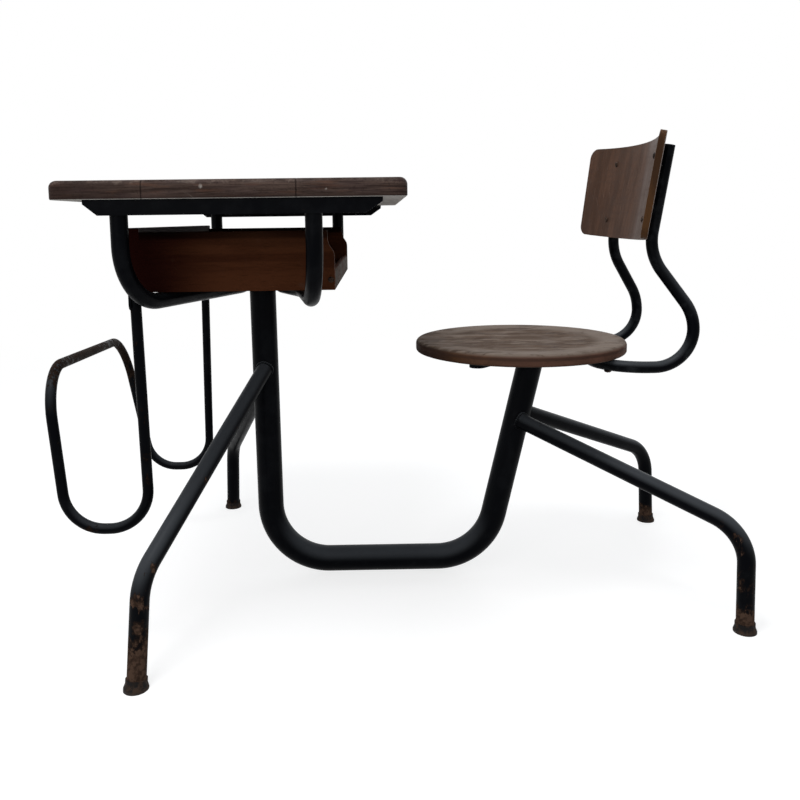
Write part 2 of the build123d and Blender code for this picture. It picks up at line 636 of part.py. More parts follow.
with BuildPart() as seat_spider:
    toe_run = (SPIDER_TOE[0] - head_x, SPIDER_TOE[1])
    toe_length = hypot(*toe_run)
    toe_angle = degrees(atan2(toe_run[1], toe_run[0]))
    with BuildSketch(level(head_x, 0, post_top_z)):
        Circle(SPIDER_HUB_D / 2)
        for side in (-1, 1):
            with Locations(Location((toe_run[0] / 2, side * toe_run[1] / 2, 0), (0, 0, side * toe_angle))):
                Rectangle(toe_length, SPIDER_BAR_W)
            with Locations((toe_run[0], side * toe_run[1])):
                Circle(SPIDER_BAR_W / 2)
        with Locations(((BACK_LOOP_X - head_x) / 2, 0)):
            Rectangle(BACK_LOOP_X - head_x, SPIDER_BAR_W)
    extrude(amount=SPIDER_T)
    # The rear bar is coped to the round of the back tube that it is welded to.
    with BuildSketch(Plane.XZ):
        with Locations((BACK_LOOP_X, back_tube_z)):
            Circle(BACK_TUBE_D / 2 + WELD_GAP)
    extrude(amount=SPIDER_BAR_W, both=True, mode=Mode.SUBTRACT)
    for x, y, head_z in seat_bolts_at[:2]:
        drill(level(x, y, seat_underside_z), SEAT_BOLT_D, SPIDER_T)
finish(seat_spider.part, "seat_spider")

with BuildPart() as seat_bolts:
    for x, y, head_z in seat_bolts_at:
        head_face = Plane(origin=(x, y, head_z), x_dir=(1, 0, 0), z_dir=(0, 0, -1))
        bolt_length = seat_underside_z - head_z + SEAT_NUT_H
        add_screw(head_face, SEAT_BOLT_HEAD, SEAT_BOLT_D, bolt_length)
finish(seat_bolts.part, "seat_bolts")

with BuildPart() as seat_nuts:
    for x, y, head_z in seat_bolts_at:
        add_nut(level(x, y, seat_underside_z + SEAT_NUT_H), SEAT_NUT_D, SEAT_NUT_H, SEAT_BOLT_D)
finish(seat_nuts.part, "seat_nuts")


# ---------------------------------------------------------------- back tube and back panel
lean = radians(BACK_LEAN)
back_plane = Plane(
    origin=(BACK_WAIST[0], 0, BACK_WAIST[1]), x_dir=(cos(lean), 0, -sin(lean)), z_dir=(sin(lean), 0, cos(lean))
)
panel_reach = PANEL_R + PANEL_T + BACK_TUBE_D / 2 + WELD_GAP
panel_centre_x = -sqrt(panel_reach**2 - BACK_HALF_SPAN**2)


def panel_bolt_plane(side, height, reach):
    """A plane facing the pupil, square to the panel's curve, at a reach from the curve's centre."""
    radial_x = -panel_centre_x / panel_reach
    radial_y = side * BACK_HALF_SPAN / panel_reach
    spot = back_plane.from_local_coords((panel_centre_x + reach * radial_x, reach * radial_y, height))
    facing = -(back_plane.x_dir * radial_x + back_plane.y_dir * radial_y)
    return Plane(origin=spot, x_dir=back_plane.z_dir, z_dir=facing)


def back_tube_half(side):
    """Points of one half of the back tube, from its top down and in under the seat."""
    top = back_plane.from_local_coords((0, side * BACK_HALF_SPAN, BACK_UPRIGHT))
    return [
        (top.X, top.Y, top.Z),
        (BACK_WAIST[0], side * BACK_HALF_SPAN, BACK_WAIST[1]),
        (BACK_HEEL_X, side * BACK_LOOP_HALF_SPAN, BACK_BULGE_Z),
        (BACK_HEEL_X, side * BACK_LOOP_HALF_SPAN, back_tube_z),
        (BACK_LOOP_X, side * BACK_LOOP_HALF_SPAN, back_tube_z),
    ]


with BuildPart() as back_tube:
    with BuildLine() as back_path:
        FilletPolyline(
            *back_tube_half(-1),
            *reversed(back_tube_half(1)),
            radius=(
                BACK_WAIST_R,
                BACK_BULGE_R,
                BACK_HEEL_R,
                BACK_LOOP_R,
                BACK_LOOP_R,
                BACK_HEEL_R,
                BACK_BULGE_R,
                BACK_WAIST_R,
            ),
        )
    sweep(sections=tube_ring(back_path.line, BACK_TUBE_D, BACK_TUBE_WALL), path=back_path.line)
    for x, y, head_z in seat_bolts_at[2:]:
        drill(level(x, y, seat_underside_z), SEAT_BOLT_D, BACK_TUBE_D)
    for side in (-1, 1):
        for height in PANEL_BOLTS:
            drill(panel_bolt_plane(side, height, PANEL_R), PANEL_NUT_D, PANEL_T + BACK_TUBE_D / 2)
finish(back_tube.part, "back_tube")

panel_face = Plane(
    origin=back_plane.from_local_coords((0, 0, PANEL_BASE)), x_dir=back_plane.y_dir, z_dir=back_plane.x_dir
)
with BuildPart() as back_panel:
    with BuildSketch(back_plane.offset(PANEL_BASE)):
        with Locations((panel_centre_x, 0)):
            Circle(PANEL_R + PANEL_T)
            Circle(PANEL_R, mode=Mode.SUBTRACT)
        Rectangle(PANEL_R, 2 * PANEL_HALF_W[1], mode=Mode.INTERSECT)
    extrude(amount=PANEL_H)
    # Trimmed to its outline: a little wider at the top, with round corners.
    with BuildSketch(panel_face) as outline:
        with BuildLine():
            Polyline(
                (-PANEL_HALF_W[0], 0),
                (PANEL_HALF_W[0], 0),
                (PANEL_HALF_W[1], PANEL_H),
                (-PANEL_HALF_W[1], PANEL_H),
                close=True,
            )
        make_face()
        fillet(outline.vertices(), radius=PANEL_CORNER_R)
    extrude(outline.sketch, amount=PANEL_R / 2, both=True, mode=Mode.INTERSECT)
    for side in (-1, 1):
        for height in PANEL_BOLTS:
            drill(panel_bolt_plane(side, height, PANEL_R - PANEL_T), PANEL_BOLT_D, 3 * PANEL_T)
finish(back_panel.part, "back_panel")

with BuildPart() as panel_bolts:
    for side in (-1, 1):
        for height in PANEL_BOLTS:
            bolt_plane = panel_bolt_plane(side, height, PANEL_R)
            add_screw(bolt_plane, PANEL_BOLT_HEAD, PANEL_BOLT_D, PANEL_T + PANEL_NUT_H)
finish(panel_bolts.part, "panel_bolts")

with BuildPart() as panel_nuts:
    for side in (-1, 1):
        for height in PANEL_BOLTS:
            nut_plane = panel_bolt_plane(side, height, PANEL_R + PANEL_T + WELD_GAP)
            add_nut(nut_plane, PANEL_NUT_D, PANEL_NUT_H, PANEL_BOLT_D)
finish(panel_nuts.part, "panel_nuts")
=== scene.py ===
import math

import bpy
from bpy.props import FloatProperty, FloatVectorProperty, PointerProperty
from mathutils import Matrix, Vector


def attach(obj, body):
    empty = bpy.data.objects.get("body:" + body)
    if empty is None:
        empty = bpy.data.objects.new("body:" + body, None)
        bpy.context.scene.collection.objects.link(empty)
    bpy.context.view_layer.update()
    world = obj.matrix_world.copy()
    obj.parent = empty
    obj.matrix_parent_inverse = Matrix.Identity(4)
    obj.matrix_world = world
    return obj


bl_info = {
    "name": "School Desk Finishes",
    "version": (1, 0, 0),
    "blender": (4, 5, 0),
    "location": "3D View > Sidebar > School Desk",
    "description": "Paints, timber finishes, welds and studio for a tube-framed school desk",
    "category": "Object",
}

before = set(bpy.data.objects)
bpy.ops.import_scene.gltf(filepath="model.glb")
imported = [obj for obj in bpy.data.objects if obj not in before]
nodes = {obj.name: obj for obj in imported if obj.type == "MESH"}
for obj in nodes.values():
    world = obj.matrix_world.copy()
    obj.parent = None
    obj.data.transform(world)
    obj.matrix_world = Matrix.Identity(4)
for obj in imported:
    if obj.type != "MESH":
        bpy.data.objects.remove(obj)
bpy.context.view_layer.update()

# Pieces of each finish, by node name.
FRAME_TUBES = ("spine_tube", "seat_spider", "head_plate")
HOOPS = ("front_hoop", "rear_hoop")
FEET = ("desk_leg_foot_left", "desk_leg_foot_right", "seat_leg_foot_left", "seat_leg_foot_right")
RAILS = ("rail_left", "rail_right")
TOP_BOARDS = ("top_board_front", "top_board_middle", "top_board_rear")
BOX_SIDES = ("box_side_left", "box_side_right")
SCREWS = ("top_screws", "box_screws", "plate_screws", "clip_screws")
BOLTS_AND_NUTS = ("seat_bolts", "seat_nuts", "panel_bolts", "panel_nuts")
RACK = ("bag_rack", "rack_clips")

# Tube radii, and a point and direction on each post that the legs leave.
SPINE_R, LEG_R, HOOP_R = 0.0212, 0.0127, 0.0110
COLUMN = (Vector((-0.2135, 0.0, 0.509)), Vector((-0.008, 0.0, 1.0)).normalized())
SEAT_POST = (Vector((0.15054, 0.0, 0.028)), Vector((0.2267, 0.0, 0.9740)).normalized())

# Each leg's post, where its middle line starts beside the post, and its knee.
LEG_LINES = {
    "desk_leg_left": (COLUMN, (-0.21086, -0.015, 0.363), (-0.3384, -0.3155, 0.1415)),
    "desk_leg_right": (COLUMN, (-0.21086, 0.015, 0.345), (-0.3314, 0.3168, 0.1340)),
    "seat_leg_left": (SEAT_POST, (0.20814, -0.019, 0.2696), (0.5028, -0.2166, 0.1502)),
    "seat_leg_right": (SEAT_POST, (0.20814, 0.019, 0.2800), (0.4984, 0.2136, 0.1455)),
}

# Where the hoops end under the rails, and the seat post's head under the spider: it leans, so it is
# stretched along X there.
HOOP_X = {"front_hoop": -0.34536, "rear_hoop": -0.10266}
HOOP_Y, RAIL_SEAT_Z = 0.306, 0.6285
POST_HEAD, POST_STRETCH = Vector((0.23245, 0.0, 0.380)), 1.027

# Rust on the legs: how much all over, a height and how much is added below it, and spots that have a centre,
# a radius and a strength.
LEG_WEAR = {
    "desk_leg_left": {
        "coverage": 0.08,
        "low": (0.125, 0.72),
        "spots": (
            ((-0.273, -0.195, 0.232), 0.015, 0.40),
            ((-0.245, -0.120, 0.290), 0.010, 0.40),
            ((-0.324, -0.309, 0.153), 0.014, 0.35),
            ((-0.341, -0.328, 0.119), 0.018, 0.45),
        ),
    },
    "desk_leg_right": {"coverage": 0.06, "low": (0.040, 0.40)},
    "seat_leg_left": {
        "coverage": 0.06,
        "low": (0.050, 0.95),
        "spots": (
            ((0.469, -0.209, 0.159), 0.010, 0.38),
            ((0.482, -0.219, 0.145), 0.011, 0.42),
            ((0.491, -0.225, 0.125), 0.014, 0.44),
            ((0.512, -0.226, 0.075), 0.045, 0.42),
            ((0.243, -0.052, 0.267), 0.014, 0.35),
        ),
    },
    "seat_leg_right": {"coverage": 0.06, "low": (0.045, 0.85)},
}
# Rust spots on the rails and on the bag rack, in the same form.
RAIL_SPOTS = (((-0.029, -0.320, 0.626), 0.010, 0.32), ((-0.140, -0.320, 0.623), 0.012, 0.28))
RACK_SPOTS = (
    ((-0.500, -0.020, 0.393), 0.200, 0.95),
    ((-0.505, 0.190, 0.370), 0.085, 0.75),
    ((-0.485, -0.170, 0.395), 0.040, 0.40),
    ((-0.350, -0.228, 0.343), 0.020, 0.26),
    ((-0.348, -0.228, 0.279), 0.010, 0.40),
    ((-0.349, -0.228, 0.246), 0.010, 0.40),
    ((-0.435, -0.227, 0.175), 0.015, 0.34),
)
# Pale nicks in the top's left edge: centre and radius.
TOP_NICKS = (((-0.238, -0.327, 0.646), 0.0028), ((-0.085, -0.327, 0.641), 0.0015))
# The middle of the painted sheen, a lighter strip on the back panel.
PAINTED_SHEEN_Y = -0.085

# Specular levels, kept low because the white world shows in every glossy face.
ENAMEL_GLOSS = 0.03
STEEL_GLOSS = 0.08
VARNISH_GLOSS = 0.05
BOX_GLOSS = 0.012
SEAT_GLOSS = 0.03

# Turns that lay the grain along the desk's X, along its Y, or upright.
GRAIN_ALONG_X = (0.0, 0.0, 0.0)
GRAIN_ALONG_Y = (0.0, 0.0, -math.pi / 2)
GRAIN_UPRIGHT = (0.0, math.pi / 2, 0.0)

# Fixed tints, laid over the colours that a user may change.
DUST = (0.030, 0.030, 0.031)
FIXING_SOOT = (0.004, 0.003, 0.003)
FOOT_BROWN = (0.050, 0.031, 0.022)
FOOT_GRIME = (0.070, 0.055, 0.046)
TOP_RUDDY = (0.105, 0.052, 0.034)
TOP_MAUVE = (0.070, 0.045, 0.045)
TOP_PORES = (0.010, 0.007, 0.006)
TOP_JOINT = (0.006, 0.004, 0.004)
TOP_ARRIS = (0.150, 0.112, 0.092)
TOP_NICK = (0.34, 0.30, 0.27)
TOP_SCRATCH = (0.13, 0.10, 0.085)
TOP_RAW_DARK = (0.430, 0.405, 0.372)
# Painted shade along the top edge of the box sides, under the top.
BOX_EDGE_SHADE = (0.0015, 0.0007, 0.0005)
BOX_PORES = (0.006, 0.002, 0.001)
BOX_LIT = (0.105, 0.042, 0.019)
BOX_SCRATCH = (0.11, 0.06, 0.04)
# Painted sheen along the front panel's top edge.
BOX_SHEEN_GREY = (0.120, 0.108, 0.108)
SEAT_GREY_DARK = (0.068, 0.045, 0.032)
SEAT_BLOTCH = (0.048, 0.033, 0.025)
SEAT_PALE = (0.205, 0.160, 0.130)
SEAT_SMUDGE = (0.050, 0.032, 0.024)
SEAT_SCRATCH = (0.19, 0.15, 0.125)
SEAT_ORANGE = (0.110, 0.052, 0.022)
SEAT_STREAK = (0.050, 0.028, 0.020)
SEAT_UNDER = (0.060, 0.048, 0.038)
SEAT_SEAM = (0.045, 0.024, 0.018)
SEAT_ARRIS = (0.150, 0.108, 0.086)
PANEL_PORES = (0.014, 0.008, 0.006)
PANEL_BLOTCH = (0.062, 0.037, 0.028)
PANEL_SHEEN = (0.128, 0.096, 0.083)
PANEL_RIPPLE = (0.060, 0.033, 0.023)
PANEL_SCRATCH = (0.16, 0.105, 0.08)
PLY_DARK = (0.050, 0.024, 0.012)


def box_of(name):
    """The low and high corners of a CAD node's box."""
    corners = [nodes[name].matrix_world @ Vector(corner) for corner in nodes[name].bound_box]
    return Vector(map(min, zip(*corners))), Vector(map(max, zip(*corners)))


# ---------------------------------------------------------------- sizes and colours
def colour(name, description, default):
    """A colour a user may change."""
    return FloatVectorProperty(
        name=name, description=description, default=default, size=3, min=0.0, max=1.0, subtype="COLOR"
    )


class DeskFinishColours(bpy.types.PropertyGroup):
    paint: colour("Paint", "Black enamel on the tubes", (0.0008, 0.0011, 0.0021))
    # Rubbed grey enamel, also laid on every tube side that looks up as a painted highlight.
    grey_paint_and_highlight: colour("Rubbed paint and highlight", "Enamel where it is rubbed thin and grey", (0.058, 0.063, 0.070))
    rust: colour("Rust", "Dull brown rust in the chips", (0.085, 0.050, 0.034))
    rust_dark: colour("Old rust", "Brown rust stain round the chips", (0.022, 0.0125, 0.0085))
    rust_old: colour("Oldest rust", "Nearly black rust along the bag rack", (0.0060, 0.0034, 0.0024))
    steel: colour("Fixing steel", "Browned screws and bolts", (0.014, 0.010, 0.008))
    foot: colour("Foot cup", "Dark foot cups", (0.010, 0.009, 0.009))
    top_dark: colour("Top, dark", "Dark varnish of the top", (0.026, 0.015, 0.012))
    top_light: colour("Top, worn", "Top where the varnish is worn", (0.088, 0.058, 0.047))
    top_raw: colour("Top, raw", "Bare underside of the top", (0.740, 0.700, 0.650))
    box_red: colour("Box", "Red-brown varnish of the book box", (0.076, 0.0250, 0.0105))
    box_dark: colour("Box, dark", "Dark end of the box varnish", (0.0125, 0.0017, 0.0014))
    # Painted sheen: the lip's outer face, painted pale.
    box_lip_sheen: colour("Box, pale", "Rubbed outer face of the lip", (0.068, 0.056, 0.045))
    seat_worn: colour("Seat, worn", "Greyed middle of the seat", (0.108, 0.071, 0.050))
    seat_rim: colour("Seat, rim", "Rubbed ring round the top of the seat", (0.196, 0.157, 0.130))
    seat_red: colour("Seat, edge", "Red-brown edge of the seat", (0.125, 0.060, 0.041))
    seat_burnt: colour("Seat, dark edge", "Dark varnish at the front of the seat", (0.022, 0.010, 0.007))
    panel_brown: colour("Back panel", "Brown varnish of the back panel", (0.094, 0.047, 0.029))
    panel_edge: colour("Ply edge", "Bare edge of the back panel", (0.088, 0.040, 0.016))
    floor: colour("Floor", "Pale studio floor", (0.90, 0.90, 0.90))


class DeskFinishSizes(bpy.types.PropertyGroup):
    bead_radius: FloatProperty(
        name="Weld bead", description="Radius of the weld beads", default=0.0022, unit="LENGTH"
    )
    chip_size: FloatProperty(
        name="Chip size", description="Width of a paint chip", default=0.006, unit="LENGTH"
    )
    floor_size: FloatProperty(
        name="Floor size", description="Width of the studio floor", default=60.0, unit="LENGTH"
    )


# ---------------------------------------------------------------- node nets
class Net:
    """Places shader nodes in one tree and wires them."""

    def __init__(self, tree):
        self.tree = tree
        self.count = 0

    def add(self, kind, **settings):
        """One node, laid out in columns of six."""
        node = self.tree.nodes.new(kind)
        node.location = (200 * (self.count // 6), -220 * (self.count % 6))
        self.count += 1
        for key, value in settings.items():
            setattr(node, key, value)
        return node

    def feed(self, socket, value):
        """Links a socket to an output, or sets its plain value."""
        if isinstance(value, bpy.types.NodeSocket):
            self.tree.links.new(value, socket)
        elif socket.type == "RGBA" and len(value) == 3:
            socket.default_value = (*value, 1.0)
        else:
            socket.default_value = value

    def math(self, operation, a, b=0.0, clamp=False):
        """A sum on one or two numbers."""
        node = self.add("ShaderNodeMath", operation=operation, use_clamp=clamp)
        self.feed(node.inputs[0], a)
        self.feed(node.inputs[1], b)
        return node.outputs[0]

    def vector(self, operation, a, b):
        """A sum on two vectors; a distance comes out as a number."""
        node = self.add("ShaderNodeVectorMath", operation=operation)
        self.feed(node.inputs[0], a)
        self.feed(node.inputs[1], b)
        return node.outputs["Value" if operation == "DISTANCE" else "Vector"]

    def noise(self, position, scale, detail=4.0, roughness=0.55, distortion=0.0):
        """Cloudy noise in 0..1; the scale is per metre."""
        node = self.add("ShaderNodeTexNoise")
        self.feed(node.inputs["Vector"], position)
        self.feed(node.inputs["Scale"], scale)
        node.inputs["Detail"].default_value = detail
        node.inputs["Roughness"].default_value = roughness
        node.inputs["Distortion"].default_value = distortion
        return node.outputs[0]

    def band(self, value, low, high, start=0.0, end=1.0):
        """A smooth step from start at low to end at high."""
        node = self.add("ShaderNodeMapRange", interpolation_type="SMOOTHSTEP")
        self.feed(node.inputs["Value"], value)
        self.feed(node.inputs["From Min"], low)
        self.feed(node.inputs["From Max"], high)
        self.feed(node.inputs["To Min"], start)
        self.feed(node.inputs["To Max"], end)
        return node.outputs[0]

    def blend(self, factor, a, b):
        """A colour mixed from a to b."""
        node = self.add("ShaderNodeMix", data_type="RGBA")
        self.feed(node.inputs[0], factor)
        self.feed(node.inputs[6], a)
        self.feed(node.inputs[7], b)
        return node.outputs[2]

    def lerp(self, factor, a, b):
        """A number mixed from a to b."""
        node = self.add("ShaderNodeMix", data_type="FLOAT")
        self.feed(node.inputs[0], factor)
        self.feed(node.inputs[2], a)
        self.feed(node.inputs[3], b)
        return node.outputs[0]

    def tint(self, base, mask, amount, colour):
        """The base with a colour laid over it by a mask times an amount."""
        return self.blend(self.math("MULTIPLY", mask, amount), base, colour)

    def parts(self, vector):
        """A vector's X, Y and Z."""
        node = self.add("ShaderNodeSeparateXYZ")
        self.feed(node.inputs[0], vector)
        return node.outputs

    def facing(self):
        """The parts of the direction that the surface faces."""
        return self.parts(self.add("ShaderNodeNewGeometry").outputs["Normal"])

    def streaks(self, position, scales, detail=4.0, roughness=0.55, distortion=0.0):
        """Noise with its own scale along X, Y and Z."""
        return self.noise(self.vector("MULTIPLY", position, scales), 1.0, detail, roughness, distortion)

    def swing(self, value, width):
        """A value in 0..1 turned into one in plus or minus half the width."""
        return self.math("MULTIPLY", self.math("SUBTRACT", value, 0.5), width)

    def place(self, name, **values):
        """A copy of a shader group with its inputs set; spaces in input names are underscores."""
        node = self.add("ShaderNodeGroup", node_tree=bpy.data.node_groups[name])
        for key, value in values.items():
            self.feed(node.inputs[key.replace("_", " ")], value)
        return node.outputs


def new_group(name, inputs, outputs):
    """An empty shader group with named sockets; returns its net, inputs and output node."""
    tree = bpy.data.node_groups.new(name, "ShaderNodeTree")
    for socket_name, kind, default in inputs:
        socket = tree.interface.new_socket(name=socket_name, in_out="INPUT", socket_type=kind)
        if default is not None:
            socket.default_value = default
    for socket_name, kind in outputs:
        tree.interface.new_socket(name=socket_name, in_out="OUTPUT", socket_type=kind)
    net = Net(tree)
    return net, net.add("NodeGroupInput").outputs, net.add("NodeGroupOutput").inputs


def new_material(name, gloss):
    """An empty material; returns it, its net, its Principled shader and the place on the piece."""
    material = bpy.data.materials.new(name)
    material.use_nodes = True
    material.node_tree.nodes.clear()
    net = Net(material.node_tree)
    output = net.add("ShaderNodeOutputMaterial")
    shader = net.add("ShaderNodeBsdfPrincipled")
    shader.inputs["Specular IOR Level"].default_value = gloss
    net.feed(output.inputs["Surface"], shader.outputs[0])
    position = net.add("ShaderNodeTexCoord").outputs["Object"]
    return material, net, shader, position


def relief(net, shader, height, distance, strength=1.0):
    """Bumps the surface by a height in 0..1 times a distance in metres."""
    bump = net.add("ShaderNodeBump")
    bump.inputs["Strength"].default_value = strength
    bump.inputs["Distance"].default_value = distance
    net.feed(bump.inputs["Height"], height)
    net.feed(shader.inputs["Normal"], bump.outputs[0])


FLOAT, VECTOR, RGBA = "NodeSocketFloat", "NodeSocketVector", "NodeSocketColor"


def make_chip_group(colours, sizes):
    """Rust chips: ragged spots of dull rust in a ring of old brown stain."""
    net, given, out = new_group(
        "Rust chips",
        (("Position", VECTOR, None), ("Coverage", FLOAT, 0.1), ("Chip scale", FLOAT, 1.0)),
        (("Chip", FLOAT), ("Stain", FLOAT), ("Colour", RGBA), ("Height", FLOAT)),
    )
    place = given["Position"]
    scale = net.math("DIVIDE", 1.0 / sizes.chip_size, given["Chip scale"])
    ragged = net.noise(place, net.math("MULTIPLY", scale, 0.35), detail=7.0, roughness=0.68)
    fine = net.noise(place, net.math("MULTIPLY", scale, 1.7), detail=4.0, roughness=0.6)
    patchy = net.noise(place, net.math("MULTIPLY", scale, 0.06), detail=2.0)
    level = net.math("ADD", net.math("MULTIPLY", ragged, 0.62), net.math("MULTIPLY", fine, 0.18))
    level = net.math("ADD", level, net.math("MULTIPLY", patchy, 0.20))
    edge = net.math("SUBTRACT", 0.72, net.math("MULTIPLY", given["Coverage"], 0.42))
    chip = net.band(level, edge, net.math("ADD", edge, 0.022))
    speckle = net.noise(place, net.math("MULTIPLY", scale, 1.1), detail=4.0)
    rust = net.blend(net.band(speckle, 0.36, 0.62, 0.15, 1.0), colours.rust_dark, colours.rust)
    pitted = net.math("SUBTRACT", net.swing(speckle, 0.5), 0.6)
    net.feed(out["Chip"], chip)
    net.feed(out["Stain"], net.band(level, net.math("SUBTRACT", edge, 0.06), net.math("ADD", edge, 0.01)))
    net.feed(out["Colour"], net.blend(chip, colours.rust_dark, rust))
    net.feed(out["Height"], net.math("MULTIPLY", chip, pitted))


def make_spot_group():
    """One worn spot: 1 at its centre, fading raggedly to 0 at its radius."""
    net, given, out = new_group(
        "Worn spot",
        (("Position", VECTOR, None), ("Centre", VECTOR, None), ("Radius", FLOAT, 0.03)),
        (("Mask", FLOAT),),
    )
    away = net.math("DIVIDE", net.vector("DISTANCE", given["Position"], given["Centre"]), given["Radius"])
    stretched = net.vector("MULTIPLY", given["Position"], (1.0, 1.0, 0.45))
    torn = net.swing(net.noise(stretched, 150.0, 4.0, 0.7), 3.2)
    net.feed(out["Mask"], net.band(net.math("ADD", away, torn), 1.15, 0.15))


def make_grain_group():
    """Timber grain along X: broad streaks, dark pores and a slow drift of tone."""
    net, given, out = new_group(
        "Timber grain",
        (("Position", VECTOR, None), ("Coarseness", FLOAT, 1.0), ("Bend", FLOAT, 0.25)),
        (("Streaks", FLOAT), ("Pores", FLOAT), ("Drift", FLOAT), ("Height", FLOAT)),
    )
    wander = net.noise(given["Position"], 2.6, detail=2.0)
    pushed = net.add("ShaderNodeCombineXYZ")
    net.feed(pushed.inputs[1], net.swing(wander, net.math("MULTIPLY", given["Bend"], 0.25)))
    sized = net.add("ShaderNodeVectorMath", operation="SCALE")
    net.feed(sized.inputs[0], net.vector("ADD", given["Position"], pushed.outputs[0]))
    net.feed(sized.inputs[3], given["Coarseness"])
    streaks = net.streaks(sized.outputs[0], (2.2, 46.0, 46.0), detail=6.0, roughness=0.62)
    pores = net.streaks(sized.outputs[0], (22.0, 620.0, 620.0), detail=3.0, roughness=0.5)
    pores = net.band(pores, 0.60, 0.72)
    net.feed(out["Streaks"], streaks)
    net.feed(out["Pores"], pores)
    net.feed(out["Drift"], net.streaks(sized.outputs[0], (1.4, 9.0, 9.0), detail=3.0))
    height = net.math("SUBTRACT", net.math("MULTIPLY", streaks, 0.5), net.math("MULTIPLY", pores, 0.5))
    net.feed(out["Height"], height)


def make_scuff_group():
    """Scuffs: thin scratches in two directions and small dents."""
    net, given, out = new_group(
        "Scuffs",
        (("Position", VECTOR, None), ("Amount", FLOAT, 0.5)),
        (("Scratches", FLOAT), ("Dents", FLOAT)),
    )
    first = net.streaks(given["Position"], (34.0, 700.0, 34.0), detail=1.0)
    turned = net.add("ShaderNodeMapping")
    net.feed(turned.inputs["Vector"], given["Position"])
    turned.inputs["Rotation"].default_value = (0.4, 0.3, 1.15)
    second = net.streaks(turned.outputs[0], (600.0, 26.0, 26.0), detail=1.0)
    lines = net.math("MAXIMUM", net.band(first, 0.70, 0.76), net.band(second, 0.72, 0.78))
    where = net.band(net.noise(given["Position"], 7.0, 3.0), 0.62, 0.40)
    net.feed(out["Scratches"], net.math("MULTIPLY", net.math("MULTIPLY", lines, where), given["Amount"]))
    dents = net.band(net.noise(given["Position"], 46.0, 2.0, 0.4), 0.64, 0.78)
    net.feed(out["Dents"], net.math("MULTIPLY", dents, given["Amount"]))


def make_dust_group():
    """Dust: settled on faces that look up, in soft patches."""
    net, given, out = new_group(
        "Settled dust", (("Position", VECTOR, None), ("Amount", FLOAT, 0.3)), (("Mask", FLOAT),)
    )
    up = net.band(net.facing()["Z"], 0.25, 0.95)
    patches = net.band(net.noise(given["Position"], 24.0, 5.0, 0.65), 0.35, 0.70)
    net.feed(out["Mask"], net.math("MULTIPLY", net.math("MULTIPLY", up, patches), given["Amount"]))


# ---------------------------------------------------------------- finishes
def enamel_finish(
    name,
    colours,
    coverage,
    chip_scale=1.0,
    low=(0.10, 0.0),
    spots=(),
    top_highlight=0.85,
    dusty=0.20,
    old=0.0,
    haze=0.06,
):
    """Black enamel with rust chips; low is a height and the rust added below it, spots add it in places."""
    material, net, shader, position = new_material(name, ENAMEL_GLOSS)
    low_height, low_rust = low
    ragged = net.math("MULTIPLY", net.noise(position, 26.0, 3.0, 0.6), low_height * 0.5)
    risen = net.math("ADD", net.parts(position)["Z"], ragged)
    amount = net.math("ADD", coverage, net.band(risen, low_height * 1.35, low_height * 0.5, 0.0, low_rust))
    for centre, radius, strength in spots:
        spot = net.place("Worn spot", Position=position, Centre=centre, Radius=radius)["Mask"]
        amount = net.math("ADD", amount, net.math("MULTIPLY", spot, strength))
    chips = net.place("Rust chips", Position=position, Coverage=amount, Chip_scale=chip_scale)
    # Thin grey enamel in clouds, and a painted highlight: every side that looks up is painted in the rubbed
    # grey.
    clouds = net.math("MULTIPLY", net.band(net.noise(position, 30.0, 4.0, 0.6), 0.45, 0.75), haze)
    up = net.band(net.facing()["Z"], 0.05, 0.75)
    worn_and_highlight = net.math("MAXIMUM", clouds, net.math("MULTIPLY", up, top_highlight))
    base = net.blend(worn_and_highlight, colours.paint, colours.grey_paint_and_highlight)
    base = net.blend(net.place("Settled dust", Position=position, Amount=dusty)["Mask"], base, DUST)
    base = net.tint(base, chips["Stain"], 0.75, net.blend(old, colours.rust_dark, colours.rust_old))
    rust = net.blend(old, chips["Colour"], colours.rust_old)
    net.feed(shader.inputs["Base Color"], net.blend(chips["Chip"], base, rust))
    gloss = net.band(net.noise(position, 55.0, 5.0, 0.6), 0.3, 0.75, 0.28, 0.42)
    dulled = net.math("ADD", gloss, net.math("MULTIPLY", chips["Stain"], 0.35), clamp=True)
    net.feed(shader.inputs["Roughness"], dulled)
    peel = net.math("MULTIPLY", net.noise(position, 420.0, 3.0), 0.10)
    lumps = net.math("MULTIPLY", net.noise(position, 60.0, 3.0), 0.25)
    surface = net.math("ADD", net.math("ADD", peel, lumps), chips["Height"])
    relief(net, shader, surface, 0.0006, 0.8)
    return material


def fixing_finish(colours):
    """Browned steel screws, bolts and nuts."""
    material, net, shader, position = new_material("Browned fixing steel", STEEL_GLOSS)
    chips = net.place("Rust chips", Position=position, Coverage=0.55, Chip_scale=0.5)
    mottled = net.noise(position, 260.0, 4.0, 0.6)
    base = net.blend(net.band(mottled, 0.35, 0.7), FIXING_SOOT, colours.steel)
    net.feed(shader.inputs["Base Color"], net.blend(chips["Stain"], base, chips["Colour"]))
    net.feed(shader.inputs["Metallic"], net.math("SUBTRACT", 0.35, chips["Stain"], clamp=True))
    net.feed(shader.inputs["Roughness"], net.band(mottled, 0.3, 0.7, 0.42, 0.7))
    relief(net, shader, mottled, 0.0002)
    return material


def foot_finish(colours):
    """Dark foot cups, scraped brown down at the floor."""
    material, net, shader, position = new_material("Foot cups", STEEL_GLOSS)
    mottled = net.noise(position, 120.0, 5.0, 0.65)
    base = net.blend(net.band(mottled, 0.40, 0.62), colours.foot, FOOT_BROWN)
    height = net.math("ADD", net.parts(position)["Z"], net.math("MULTIPLY", mottled, 0.006))
    scraped = net.band(height, 0.009, 0.002)
    net.feed(shader.inputs["Base Color"], net.tint(base, scraped, 0.6, FOOT_GRIME))
    net.feed(shader.inputs["Roughness"], net.band(mottled, 0.3, 0.7, 0.55, 0.85))
    relief(net, shader, mottled, 0.0008)
    return material


